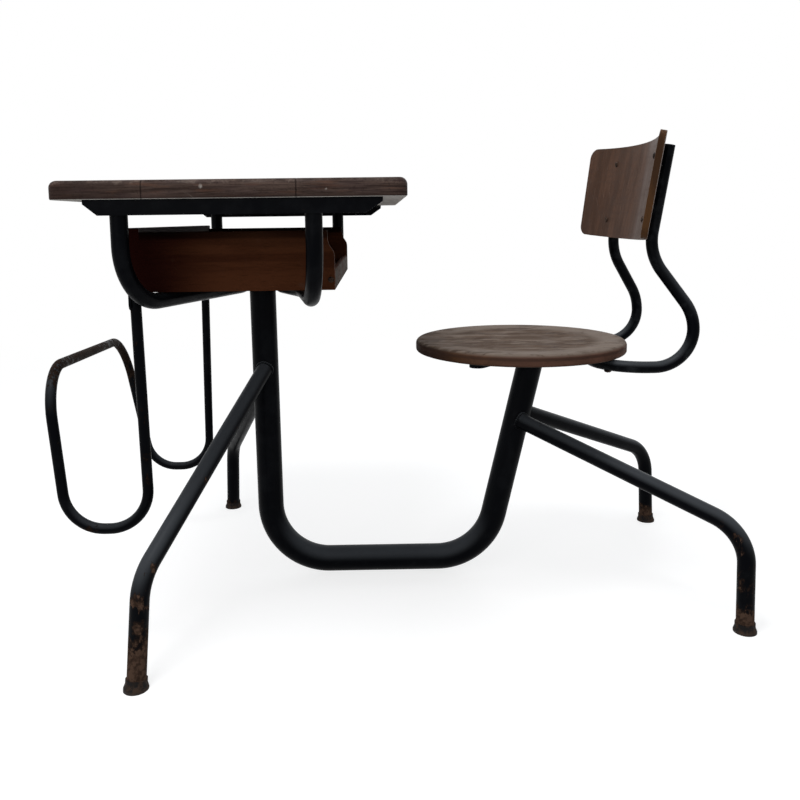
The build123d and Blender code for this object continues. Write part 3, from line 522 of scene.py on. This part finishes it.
def log_place(net, position, offset, turn):
    """The place on the piece, turned and moved to its own part of the log."""
    moved = net.add("ShaderNodeMapping")
    net.feed(moved.inputs["Vector"], position)
    moved.inputs["Rotation"].default_value = turn
    moved.inputs["Location"].default_value = offset
    return moved.outputs[0]


def top_edge(net, colours, position, place, low, high):
    """The edge colour of the top: streaked along its length, darker at both arrises and towards the front."""
    length = net.streaks(position, (26.0, 26.0, 520.0), 5.0, 0.65)
    drift = net.streaks(position, (9.0, 9.0, 120.0), 3.0)
    streaked = net.math("ADD", net.math("MULTIPLY", length, 0.6), net.math("MULTIPLY", drift, 0.4))
    edge = net.blend(net.band(streaked, 0.40, 0.62), colours.top_dark, colours.top_light)
    ruddy = net.band(net.streaks(position, (18.0, 18.0, 160.0)), 0.52, 0.70)
    edge = net.tint(edge, ruddy, 0.6, TOP_RUDDY)
    lower = net.band(place["Z"], low.z + 0.007, low.z + 0.001)
    upper = net.band(place["Z"], high.z - 0.007, high.z - 0.0005)
    edge = net.tint(edge, net.math("MAXIMUM", lower, upper), 0.65, colours.top_dark)
    front = box_of(TOP_BOARDS[0])[0].x
    return net.blend(net.band(place["X"], front + 0.135, front + 0.025, 0.0, 0.55), edge, colours.top_dark)


def top_finish(name, colours, offset, low, high):
    """Dark varnished board of the top, between two corners: worn arrises, scratches and a bare underside."""
    material, net, shader, position = new_material(name, VARNISH_GLOSS)
    log = log_place(net, position, offset, GRAIN_ALONG_Y)
    grain = net.place("Timber grain", Position=log, Coarseness=1.0, Bend=0.3)
    scuffs = net.place("Scuffs", Position=position, Amount=0.8)
    normal_z, place = net.facing()["Z"], net.parts(position)
    varnish = net.blend(net.band(grain["Streaks"], 0.34, 0.68), colours.top_dark, colours.top_light)
    upright = net.band(net.math("ABSOLUTE", normal_z), 0.75, 0.45)
    varnish = net.blend(upright, varnish, top_edge(net, colours, position, place, low, high))
    # A dark line along the joints between the boards.
    away = net.math("ABSOLUTE", net.math("SUBTRACT", place["X"], (low.x + high.x) / 2))
    half_width = (high.x - low.x) / 2
    varnish = net.tint(varnish, net.band(away, half_width - 0.0016, half_width - 0.0003), 0.55, TOP_JOINT)
    mauve = net.band(net.streaks(position, (14.0, 14.0, 90.0)), 0.50, 0.72)
    varnish = net.tint(varnish, mauve, 0.35, TOP_MAUVE)
    varnish = net.tint(varnish, grain["Pores"], 0.5, TOP_PORES)
    patches = net.band(net.noise(position, 11.0, 5.0, 0.6), 0.56, 0.72)
    varnish = net.tint(varnish, patches, 0.35, colours.top_dark)
    rounded = net.math("MULTIPLY", net.band(normal_z, 0.15, 0.55), net.band(normal_z, 0.98, 0.75))
    worn = net.math("MULTIPLY", rounded, net.band(net.noise(position, 70.0, 5.0, 0.7), 0.52, 0.64))
    varnish = net.tint(varnish, worn, 0.45, TOP_ARRIS)
    varnish = net.blend(scuffs["Scratches"], varnish, TOP_SCRATCH)
    for centre, radius in TOP_NICKS:
        nick = net.place("Worn spot", Position=position, Centre=centre, Radius=radius)["Mask"]
        varnish = net.tint(varnish, nick, 0.9, TOP_NICK)
    bare = net.band(normal_z, -0.55, -0.85)
    raw = net.blend(grain["Streaks"], TOP_RAW_DARK, colours.top_raw)
    net.feed(shader.inputs["Base Color"], net.blend(bare, varnish, raw))
    sheen = net.band(net.noise(position, 18.0, 4.0), 0.3, 0.7, 0.40, 0.60)
    net.feed(shader.inputs["Roughness"], net.math("ADD", sheen, net.math("MULTIPLY", bare, 0.35), clamp=True))
    surface = net.math("SUBTRACT", grain["Height"], net.math("MULTIPLY", scuffs["Scratches"], 0.6))
    surface = net.math("SUBTRACT", surface, net.math("MULTIPLY", scuffs["Dents"], 0.8))
    relief(net, shader, surface, 0.0008)
    return material


def box_finish(name, colours, offset, turn=GRAIN_ALONG_Y, outer_face_sheen=0.0, edge_shade=0.97, front_panel_sheen=0.0):
    """Red-brown varnished board of the book box: nearly black-red at the front end, painted shade along the
    top edge.
    """
    material, net, shader, position = new_material(name, BOX_GLOSS)
    log = log_place(net, position, offset, turn)
    grain = net.place("Timber grain", Position=log, Coarseness=1.6, Bend=0.2)
    scuffs = net.place("Scuffs", Position=position, Amount=0.5)
    place, normal = net.parts(position), net.facing()
    low, high = box_of(BOX_SIDES[0])
    fade = net.math("ADD", place["X"], net.swing(grain["Drift"], 0.05))
    dark_end = net.band(fade, low.x + 0.129, low.x + 0.009, 0.0, 0.95)
    base = net.blend(dark_end, colours.box_red, colours.box_dark)
    # Painted shade: the top edge of the sides, under the top's overhang, is painted nearly black.
    base = net.blend(net.band(place["Z"], high.z - 0.0125, high.z - 0.0075, 0.0, edge_shade), base, BOX_EDGE_SHADE)
    base = net.blend(net.band(grain["Streaks"], 0.38, 0.62, 0.45, 0.0), base, colours.box_dark)
    base = net.tint(base, grain["Pores"], 0.22, BOX_PORES)
    lit_end = net.band(fade, low.x + 0.044, low.x + 0.184)
    lit = net.math("MULTIPLY", net.band(grain["Drift"], 0.5, 0.75, 0.0, 0.30), lit_end)
    base = net.blend(lit, base, BOX_LIT)
    base = net.tint(base, scuffs["Scratches"], 0.5, BOX_SCRATCH)
    # Painted sheen: the front panel is painted grey along its top edge, and the lip's outer face is painted
    # pale in patches, as light caught at a grazing angle.
    sheen_band = net.band(place["Z"], high.z - 0.008, high.z - 0.005, 0.0, front_panel_sheen)
    sheen_band = net.math("MULTIPLY", sheen_band, net.band(grain["Drift"], 0.3, 0.6, 0.4, 1.0))
    sheen_band = net.math("MULTIPLY", sheen_band, net.band(net.math("ABSOLUTE", normal["Y"]), 0.7, 0.4))
    base = net.blend(sheen_band, base, BOX_SHEEN_GREY)
    patchy = net.band(net.noise(position, 26.0, 4.0, 0.6), 0.36, 0.58, 0.35, 0.95)
    outward = net.band(normal["X"], 0.5, 0.9, 0.0, outer_face_sheen)
    base = net.blend(net.math("MULTIPLY", outward, patchy), base, colours.box_lip_sheen)
    net.feed(shader.inputs["Base Color"], base)
    net.feed(shader.inputs["Roughness"], net.band(grain["Drift"], 0.3, 0.7, 0.55, 0.70))
    surface = net.math("SUBTRACT", grain["Height"], net.math("MULTIPLY", scuffs["Dents"], 0.8))
    relief(net, shader, surface, 0.0005)
    return material


def seat_top(net, colours, position, grain, scuffs, middle, radius, behind):
    """The colour of the seat's upper face: grey, with a paler rubbed ring, streaks and smudges."""
    worn = net.blend(net.band(grain["Streaks"], 0.36, 0.66), SEAT_GREY_DARK, colours.seat_worn)
    worn = net.tint(worn, net.band(net.noise(position, 16.0, 5.0, 0.65), 0.50, 0.70), 0.45, SEAT_BLOTCH)
    flat = net.vector("MULTIPLY", position, (1.0, 1.0, 0.0))
    out = net.vector("DISTANCE", flat, (middle.x, middle.y, 0.0))
    out = net.math("ADD", out, net.swing(net.noise(position, 30.0, 4.0), 0.03))
    ring = net.band(out, radius - 0.060, radius - 0.032)
    ring = net.math("MULTIPLY", ring, net.band(behind, -0.150, -0.070, 0.25, 0.85))
    worn = net.blend(ring, worn, colours.seat_rim)
    streaky = net.streaks(position, (11.0, 60.0, 1.0), 5.0, 0.72)
    worn = net.blend(net.band(streaky, 0.50, 0.64, 0.0, 0.75), worn, SEAT_PALE)
    smudges = net.streaks(position, (22.0, 45.0, 1.0), 5.0, 0.7, 0.4)
    worn = net.blend(net.band(smudges, 0.50, 0.64, 0.0, 0.70), worn, SEAT_SMUDGE)
    return net.blend(scuffs["Scratches"], worn, SEAT_SCRATCH)


def seat_edge(net, colours, grain, height, normal_z, behind, seam_z):
    """The colour of the seat's edge: dark in front, orange beside that, with a seam and a rubbed arris."""
    edge = net.blend(net.band(behind, -0.070, -0.140), colours.seat_red, colours.seat_burnt)
    orange = net.math("MULTIPLY", net.band(behind, -0.150, -0.110), net.band(behind, -0.040, -0.080))
    edge = net.tint(edge, orange, 0.5, SEAT_ORANGE)
    edge = net.blend(net.band(grain["Streaks"], 0.38, 0.68, 0.55, 0.0), edge, SEAT_STREAK)
    edge = net.blend(net.band(normal_z, -0.6, -0.95), edge, SEAT_UNDER)
    from_seam = net.math("ABSOLUTE", net.math("SUBTRACT", height, seam_z))
    edge = net.blend(net.band(from_seam, 0.0035, 0.0010, 0.0, 0.60), edge, SEAT_SEAM)
    arris = net.math("MULTIPLY", net.band(normal_z, 0.20, 0.55), net.band(behind, -0.150, -0.080, 0.1, 0.5))
    return net.blend(arris, edge, SEAT_ARRIS)


def seat_finish(colours):
    """Round seat: greyed and rubbed on top, red-brown round the edge and bare below."""
    material, net, shader, position = new_material("Round timber", SEAT_GLOSS)
    log = log_place(net, position, (0.3, 0.1, 0.0), GRAIN_ALONG_X)
    grain = net.place("Timber grain", Position=log, Coarseness=0.9, Bend=0.25)
    scuffs = net.place("Scuffs", Position=position, Amount=0.9)
    normal_z, place = net.facing()["Z"], net.parts(position)
    low, high = box_of("seat_disc")
    middle, radius = (low + high) / 2, (high.x - low.x) / 2
    behind = net.math("SUBTRACT", place["X"], middle.x)
    top = seat_top(net, colours, position, grain, scuffs, middle, radius, behind)
    edge = seat_edge(net, colours, grain, place["Z"], normal_z, behind, high.z - 0.0075)
    net.feed(shader.inputs["Base Color"], net.blend(net.band(normal_z, 0.45, 0.90), edge, top))
    net.feed(shader.inputs["Roughness"], net.band(net.noise(position, 30.0, 4.0), 0.3, 0.7, 0.60, 0.78))
    surface = net.math("SUBTRACT", grain["Height"], net.math("MULTIPLY", scuffs["Dents"], 0.9))
    relief(net, shader, surface, 0.0008)
    return material


def panel_finish(colours):
    """Bent ply back panel: brown varnish, fine upright grain and a bare orange-brown edge."""
    material, net, shader, position = new_material("Back panel ply", VARNISH_GLOSS)
    log = log_place(net, position, (0.0, 0.0, 0.0), GRAIN_UPRIGHT)
    grain = net.place("Timber grain", Position=log, Coarseness=1.1, Bend=0.35)
    scuffs = net.place("Scuffs", Position=position, Amount=0.7)
    dark = tuple(0.62 * part for part in colours.panel_brown)
    face = net.blend(net.band(grain["Streaks"], 0.36, 0.68), dark, colours.panel_brown)
    face = net.tint(face, grain["Pores"], 0.4, PANEL_PORES)
    blotch = net.band(net.noise(position, 20.0, 4.0, 0.6), 0.5, 0.72, 0.0, 0.35)
    face = net.blend(blotch, face, PANEL_BLOTCH)
    # A painted sheen: a lighter strip towards the sitter's left, standing in for a reflection on the varnish.
    strip = net.math("ABSOLUTE", net.math("SUBTRACT", net.parts(position)["Y"], PAINTED_SHEEN_Y))
    sheen_streaks = net.streaks(position, (20.0, 110.0, 14.0))
    sheen = net.math("MULTIPLY", net.band(strip, 0.056, 0.034), net.band(sheen_streaks, 0.35, 0.60, 0.40, 0.85))
    face = net.blend(sheen, face, PANEL_SHEEN)
    ripple = net.streaks(position, (10.0, 16.0, 130.0), 4.0, 0.6, 0.6)
    face = net.blend(net.band(ripple, 0.48, 0.66, 0.0, 0.40), face, PANEL_RIPPLE)
    face = net.blend(scuffs["Scratches"], face, PANEL_SCRATCH)
    side = net.band(net.math("ABSOLUTE", net.facing()["X"]), 0.70, 0.45)
    ply = net.blend(net.band(grain["Streaks"], 0.4, 0.6), PLY_DARK, colours.panel_edge)
    net.feed(shader.inputs["Base Color"], net.blend(side, face, ply))
    net.feed(shader.inputs["Roughness"], net.band(grain["Drift"], 0.3, 0.7, 0.42, 0.58))
    relief(net, shader, grain["Height"], 0.0005)
    return material


def give(finish, names):
    """Paints CAD nodes with one finish."""
    for name in names:
        piece = nodes[name]
        if piece.material_slots:
            for slot in piece.material_slots:
                slot.material = finish
        else:
            piece.data.materials.append(finish)


# ---------------------------------------------------------------- weld beads
def meeting_ring(start, toward, tube_radius, post, post_radius, steps=40):
    """Points where a thin tube's skin meets the side of a thicker post, each with its outward direction."""
    post_point, post_dir = post
    run = (toward - start).normalized()
    side = run.cross(post_dir).normalized()
    up = side.cross(run).normalized()
    ring = []
    for step in range(steps):
        angle = 2 * math.pi * step / steps
        spoke = side * math.cos(angle) + up * math.sin(angle)
        place = start + spoke * tube_radius - post_point
        flat_place = place - post_dir * place.dot(post_dir)
        flat_run = run - post_dir * run.dot(post_dir)
        a = flat_run.dot(flat_run)
        b = flat_place.dot(flat_run)
        c = flat_place.dot(flat_place) - post_radius**2
        reach = (-b + math.sqrt(max(b * b - a * c, 0.0))) / a
        ring.append((start + spoke * tube_radius + run * max(reach, 0.0), spoke))
    return ring


def round_ring(centre, radius, stretch=1.0, steps=32):
    """A level circle of points with outward directions; stretch lengthens it along X for a leaning tube."""
    ring = []
    for step in range(steps):
        angle = 2 * math.pi * step / steps
        spoke = Vector((stretch * math.cos(angle), math.sin(angle), 0.0))
        ring.append((centre + spoke * radius, spoke))
    return ring


def bead_mesh(name, ring, radius, steps=3, sides=8):
    """A closed weld bead with ripples, swept round a ring of (point, outward direction)."""
    count = len(ring) * steps
    verts, faces = [], []
    for i in range(count):
        t = i / steps
        this, following = ring[int(t) % len(ring)], ring[(int(t) + 1) % len(ring)]
        spot = this[0].lerp(following[0], t % 1)
        spoke = this[1].lerp(following[1], t % 1).normalized()
        before, after = ring[int(t - 1) % len(ring)][0], ring[(int(t) + 2) % len(ring)][0]
        across = (after - before).normalized().cross(spoke).normalized()
        swell = radius * (1 + 0.16 * math.sin(i * 1.25) + 0.07 * math.sin(i * 0.41 + 1))
        for j in range(sides):
            angle = 2 * math.pi * j / sides
            verts.append(spot + (spoke * math.cos(angle) + across * math.sin(angle)) * swell)
            next_i, next_j = (i + 1) % count, (j + 1) % sides
            faces.append((i * sides + j, i * sides + next_j, next_i * sides + next_j, next_i * sides + j))
    mesh = bpy.data.meshes.new(name)
    mesh.from_pydata(verts, [], faces)
    mesh.shade_smooth()
    return mesh


def add_bead(name, ring, radius, finish):
    """Adds one weld bead that rides with the frame."""
    bead = bpy.data.objects.new(name, bead_mesh(name, ring, radius))
    bpy.context.scene.collection.objects.link(bead)
    bead.data.materials.append(finish)
    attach(bead, "root")


# ---------------------------------------------------------------- studio
def split_rays(net, output, bounced, seen):
    """Feeds the output with one shader for the eye and for gloss, and another for bounced light."""
    rays = net.add("ShaderNodeLightPath").outputs
    direct = net.math("MAXIMUM", rays["Is Camera Ray"], rays["Is Glossy Ray"])
    direct = net.math("MAXIMUM", direct, rays["Is Transmission Ray"])
    mixed = net.add("ShaderNodeMixShader")
    net.feed(mixed.inputs[0], direct)
    net.feed(mixed.inputs[1], bounced.outputs[0])
    net.feed(mixed.inputs[2], seen.outputs[0])
    net.feed(output.inputs["Surface"], mixed.outputs[0])


def floor_finish(colours):
    """Pale floor: white to the eye and in gloss, grey to bounced light, and it keeps the object's shadow."""
    material = bpy.data.materials.new("Studio floor")
    material.use_nodes = True
    material.node_tree.nodes.clear()
    net = Net(material.node_tree)
    output = net.add("ShaderNodeOutputMaterial")
    # Near the desk the lamps light part of the floor's white, and a shadow takes that part away.
    near, plain = 0.9, 3.2
    place = net.add("ShaderNodeTexCoord").outputs["Object"]
    far = net.band(net.vector("DISTANCE", place, (0.0, 0.0, 0.0)), near, plain)
    shaded = net.add("ShaderNodeBsdfDiffuse")
    net.feed(shaded.inputs["Color"], net.blend(far, (0.40, 0.40, 0.40), (0.0, 0.0, 0.0)))
    lifted = net.add("ShaderNodeEmission")
    net.feed(lifted.inputs["Strength"], net.lerp(far, 0.74, 1.0))
    seen = net.add("ShaderNodeAddShader")
    net.feed(seen.inputs[0], shaded.outputs[0])
    net.feed(seen.inputs[1], lifted.outputs[0])
    bounced = net.add("ShaderNodeBsdfDiffuse")
    net.feed(bounced.inputs["Color"], tuple(0.5 * part for part in colours.floor))
    split_rays(net, output, bounced, seen)
    return material


def light_world(scene):
    """A white world to the eye and to gloss, and a soft even light on the piece."""
    world = bpy.data.worlds.new("Studio world")
    world.use_nodes = True
    world.node_tree.nodes.clear()
    net = Net(world.node_tree)
    output = net.add("ShaderNodeOutputWorld")
    seen, soft = net.add("ShaderNodeBackground"), net.add("ShaderNodeBackground")
    net.feed(seen.inputs["Color"], (1.0, 1.0, 1.0))
    net.feed(seen.inputs["Strength"], 1.0)
    net.feed(soft.inputs["Color"], (0.93, 0.96, 1.0))
    net.feed(soft.inputs["Strength"], 0.50)
    split_rays(net, output, soft, seen)
    scene.world = world


def add_softbox(scene, name, spot, aim, size, power):
    """One square soft light, pointed at the piece."""
    data = bpy.data.lights.new(name, "AREA")
    data.size = size
    data.energy = power
    light = bpy.data.objects.new(name, data)
    light.location = spot
    light.rotation_euler = (Vector(aim) - Vector(spot)).to_track_quat("-Z", "Y").to_euler()
    scene.collection.objects.link(light)


def add_camera(scene):
    """The camera stands off the pupil's left side, a little under the top, and looks slightly down."""
    place = Vector((-0.02298, -1.315, 0.6029))
    yaw, pitch, roll = -0.01309, 0.1199, -0.01228
    turn = Matrix.Rotation(roll, 3, "Y") @ Matrix.Rotation(pitch, 3, "X") @ Matrix.Rotation(-yaw, 3, "Z")
    right, forward, up = turn
    data = bpy.data.cameras.new("studio_camera")
    # The lens is as long as the film is wide, a field of 53 degrees.
    data.sensor_width, data.lens = 36.0, 36.0
    data.shift_x, data.shift_y = 0.0135, -0.105
    camera = bpy.data.objects.new("studio_camera", data)
    facing = Matrix((right, up, -forward)).transposed()
    camera.matrix_world = Matrix.LocRotScale(place, facing, None)
    scene.collection.objects.link(camera)
    scene.camera = camera


# ---------------------------------------------------------------- operators
class DESK_OT_finish_groups(bpy.types.Operator):
    """Make the shader groups that the finishes share"""

    bl_idname = "desk.finish_groups"
    bl_label = "Shared shader groups"

    def execute(self, context):
        make_chip_group(context.scene.desk_colours, context.scene.desk_sizes)
        make_spot_group()
        make_grain_group()
        make_scuff_group()
        make_dust_group()
        return {"FINISHED"}


class DESK_OT_steel_frame(bpy.types.Operator):
    """Paint the spine, hoops, rails, legs, spider and back tube in worn black enamel, and finish the feet"""

    bl_idname = "desk.steel_frame"
    bl_label = "Steel frame"

    def execute(self, context):
        colours = context.scene.desk_colours
        give(enamel_finish("Black enamel", colours, 0.02), FRAME_TUBES)
        # The back tube's grey clouds are stronger: partly worn enamel, partly a painted highlight.
        give(enamel_finish("Black enamel, back tube", colours, 0.04, haze=0.34), ("back_tube",))
        # The hoops get only a faint painted highlight on their upper sides.
        give(enamel_finish("Black enamel, hoops", colours, 0.05, 0.6, top_highlight=0.16), HOOPS)
        give(enamel_finish("Black enamel, rails", colours, 0.06, spots=RAIL_SPOTS), RAILS)
        for name, wear in LEG_WEAR.items():
            plain_name = name.replace("_", " ")
            give(enamel_finish(f"Black enamel, {plain_name}", colours, chip_scale=1.2, **wear), (name,))
        give(foot_finish(colours), FEET)
        return {"FINISHED"}


class DESK_OT_weld_beads(bpy.types.Operator):
    """Run weld beads round the roots of the legs, the hoops' tops, the head plate and the spider's hub"""

    bl_idname = "desk.weld_beads"
    bl_label = "Weld beads"

    def execute(self, context):
        radius = context.scene.desk_sizes.bead_radius
        finish = enamel_finish("Black enamel, welds", context.scene.desk_colours, 0.10, 0.7)
        for side_name, side in (("left", -1), ("right", 1)):
            for leg in ("desk_leg", "seat_leg"):
                post, start, knee = LEG_LINES[f"{leg}_{side_name}"]
                ring = meeting_ring(Vector(start), Vector(knee), LEG_R, post, SPINE_R)
                add_bead(f"{leg}_weld_{side_name}", ring, radius, finish)
            for hoop, hoop_x in HOOP_X.items():
                centre = Vector((hoop_x, side * HOOP_Y, RAIL_SEAT_Z))
                add_bead(f"{hoop}_weld_{side_name}", round_ring(centre, HOOP_R), radius, finish)
        # The column's point is its head, under the plate.
        add_bead("head_plate_weld", round_ring(COLUMN[0], SPINE_R), radius, finish)
        add_bead("spider_weld", round_ring(POST_HEAD, SPINE_R, POST_STRETCH), radius, finish)
        return {"FINISHED"}


class DESK_OT_bag_rack(bpy.types.Operator):
    """Paint the bag rack and its clips, rusting along the bar"""

    bl_idname = "desk.bag_rack"
    bl_label = "Bag rack"

    def execute(self, context):
        colours = context.scene.desk_colours
        # The rack's upper sides get a weaker painted highlight than the frame's.
        rusty = {"spots": RACK_SPOTS, "top_highlight": 0.45, "dusty": 0.0, "old": 0.8}
        give(enamel_finish("Black enamel, bag rack", colours, 0.14, 0.9, **rusty), RACK)
        return {"FINISHED"}


class DESK_OT_desk_top(bpy.types.Operator):
    """Varnish the three boards of the top"""

    bl_idname = "desk.desk_top"
    bl_label = "Desk top"

    def execute(self, context):
        colours = context.scene.desk_colours
        for index, name in enumerate(TOP_BOARDS):
            offset = (0.7 * index, 0.37 * index, 0.2 * index)
            give(top_finish(f"Top timber {index + 1}", colours, offset, *box_of(name)), (name,))
        return {"FINISHED"}


class DESK_OT_book_box(bpy.types.Operator):
    """Varnish the book box under the top"""

    bl_idname = "desk.book_box"
    bl_label = "Book box"

    def execute(self, context):
        colours = context.scene.desk_colours
        give(box_finish("Box side timber", colours, (0.2, 0.5, 0.0), GRAIN_ALONG_X), BOX_SIDES)
        front = box_finish("Box front timber", colours, (0.9, 0.2, 0.4), edge_shade=0.0, front_panel_sheen=1.0)
        give(front, ("box_front_panel",))
        give(box_finish("Box lip timber", colours, (1.3, 0.6, 0.2), outer_face_sheen=1.0), ("box_lip",))
        give(box_finish("Box floor timber", colours, (1.7, 0.8, 0.1)), ("box_floor",))
        return {"FINISHED"}


class DESK_OT_seat(bpy.types.Operator):
    """Finish the round seat"""

    bl_idname = "desk.seat"
    bl_label = "Seat"

    def execute(self, context):
        give(seat_finish(context.scene.desk_colours), ("seat_disc",))
        return {"FINISHED"}


class DESK_OT_back_panel(bpy.types.Operator):
    """Finish the bent ply back panel"""

    bl_idname = "desk.back_panel"
    bl_label = "Back panel"

    def execute(self, context):
        give(panel_finish(context.scene.desk_colours), ("back_panel",))
        return {"FINISHED"}


class DESK_OT_fixings(bpy.types.Operator):
    """Brown the screws, bolts and nuts"""

    bl_idname = "desk.fixings"
    bl_label = "Fixings"

    def execute(self, context):
        give(fixing_finish(context.scene.desk_colours), SCREWS + BOLTS_AND_NUTS)
        return {"FINISHED"}


class DESK_OT_stage(bpy.types.Operator):
    """Lay the pale floor, hang the soft lights and set up the camera"""

    bl_idname = "desk.stage"
    bl_label = "Studio"

    def execute(self, context):
        scene = context.scene
        half = scene.desk_sizes.floor_size / 2
        mesh = bpy.data.meshes.new("studio_floor")
        corners = [(-half, -half, 0), (half, -half, 0), (half, half, 0), (-half, half, 0)]
        mesh.from_pydata(corners, [], [(0, 1, 2, 3)])
        floor = bpy.data.objects.new("studio_floor", mesh)
        scene.collection.objects.link(floor)
        mesh.materials.append(floor_finish(scene.desk_colours))
        light_world(scene)
        for name, spot, aim, size, power in (
            ("top_light", (-0.5, -0.7, 2.6), (0.0, 0.0, 0.3), 0.8, 30.0),
            ("front_light", (-1.2, -2.6, 1.5), (0.0, 0.0, 0.4), 2.2, 14.0),
            ("rear_light", (1.6, 2.4, 1.8), (0.0, 0.0, 0.4), 2.2, 12.0),
        ):
            add_softbox(scene, name, spot, aim, size, power)
        add_camera(scene)
        scene.view_settings.view_transform = "Standard"
        return {"FINISHED"}


# ---------------------------------------------------------------- panel and registration
STEPS = (
    DESK_OT_finish_groups,
    DESK_OT_steel_frame,
    DESK_OT_weld_beads,
    DESK_OT_bag_rack,
    DESK_OT_desk_top,
    DESK_OT_book_box,
    DESK_OT_seat,
    DESK_OT_back_panel,
    DESK_OT_fixings,
    DESK_OT_stage,
)


class DESK_PT_school_desk(bpy.types.Panel):
    """Lists the steps that dress the school desk"""

    bl_idname = "DESK_PT_school_desk"
    bl_label = "School Desk"
    bl_space_type = "VIEW_3D"
    bl_region_type = "UI"
    bl_category = "School Desk"

    def draw(self, context):
        for step in STEPS:
            self.layout.operator(step.bl_idname)
        for name in DeskFinishSizes.__annotations__:
            self.layout.prop(context.scene.desk_sizes, name)
        for name in DeskFinishColours.__annotations__:
            self.layout.prop(context.scene.desk_colours, name)


CLASSES = (DeskFinishColours, DeskFinishSizes, *STEPS, DESK_PT_school_desk)


def register():
    for cls in CLASSES:
        bpy.utils.register_class(cls)
    bpy.types.Scene.desk_colours = PointerProperty(type=DeskFinishColours)
    bpy.types.Scene.desk_sizes = PointerProperty(type=DeskFinishSizes)


def unregister():
    del bpy.types.Scene.desk_sizes
    del bpy.types.Scene.desk_colours
    for cls in reversed(CLASSES):
        bpy.utils.unregister_class(cls)


def main():
    register()
    bpy.ops.desk.finish_groups()
    bpy.ops.desk.steel_frame()
    bpy.ops.desk.weld_beads()
    bpy.ops.desk.bag_rack()
    bpy.ops.desk.desk_top()
    bpy.ops.desk.book_box()
    bpy.ops.desk.seat()
    bpy.ops.desk.back_panel()
    bpy.ops.desk.fixings()
    bpy.ops.desk.stage()


if __name__ == "__main__":
    main()
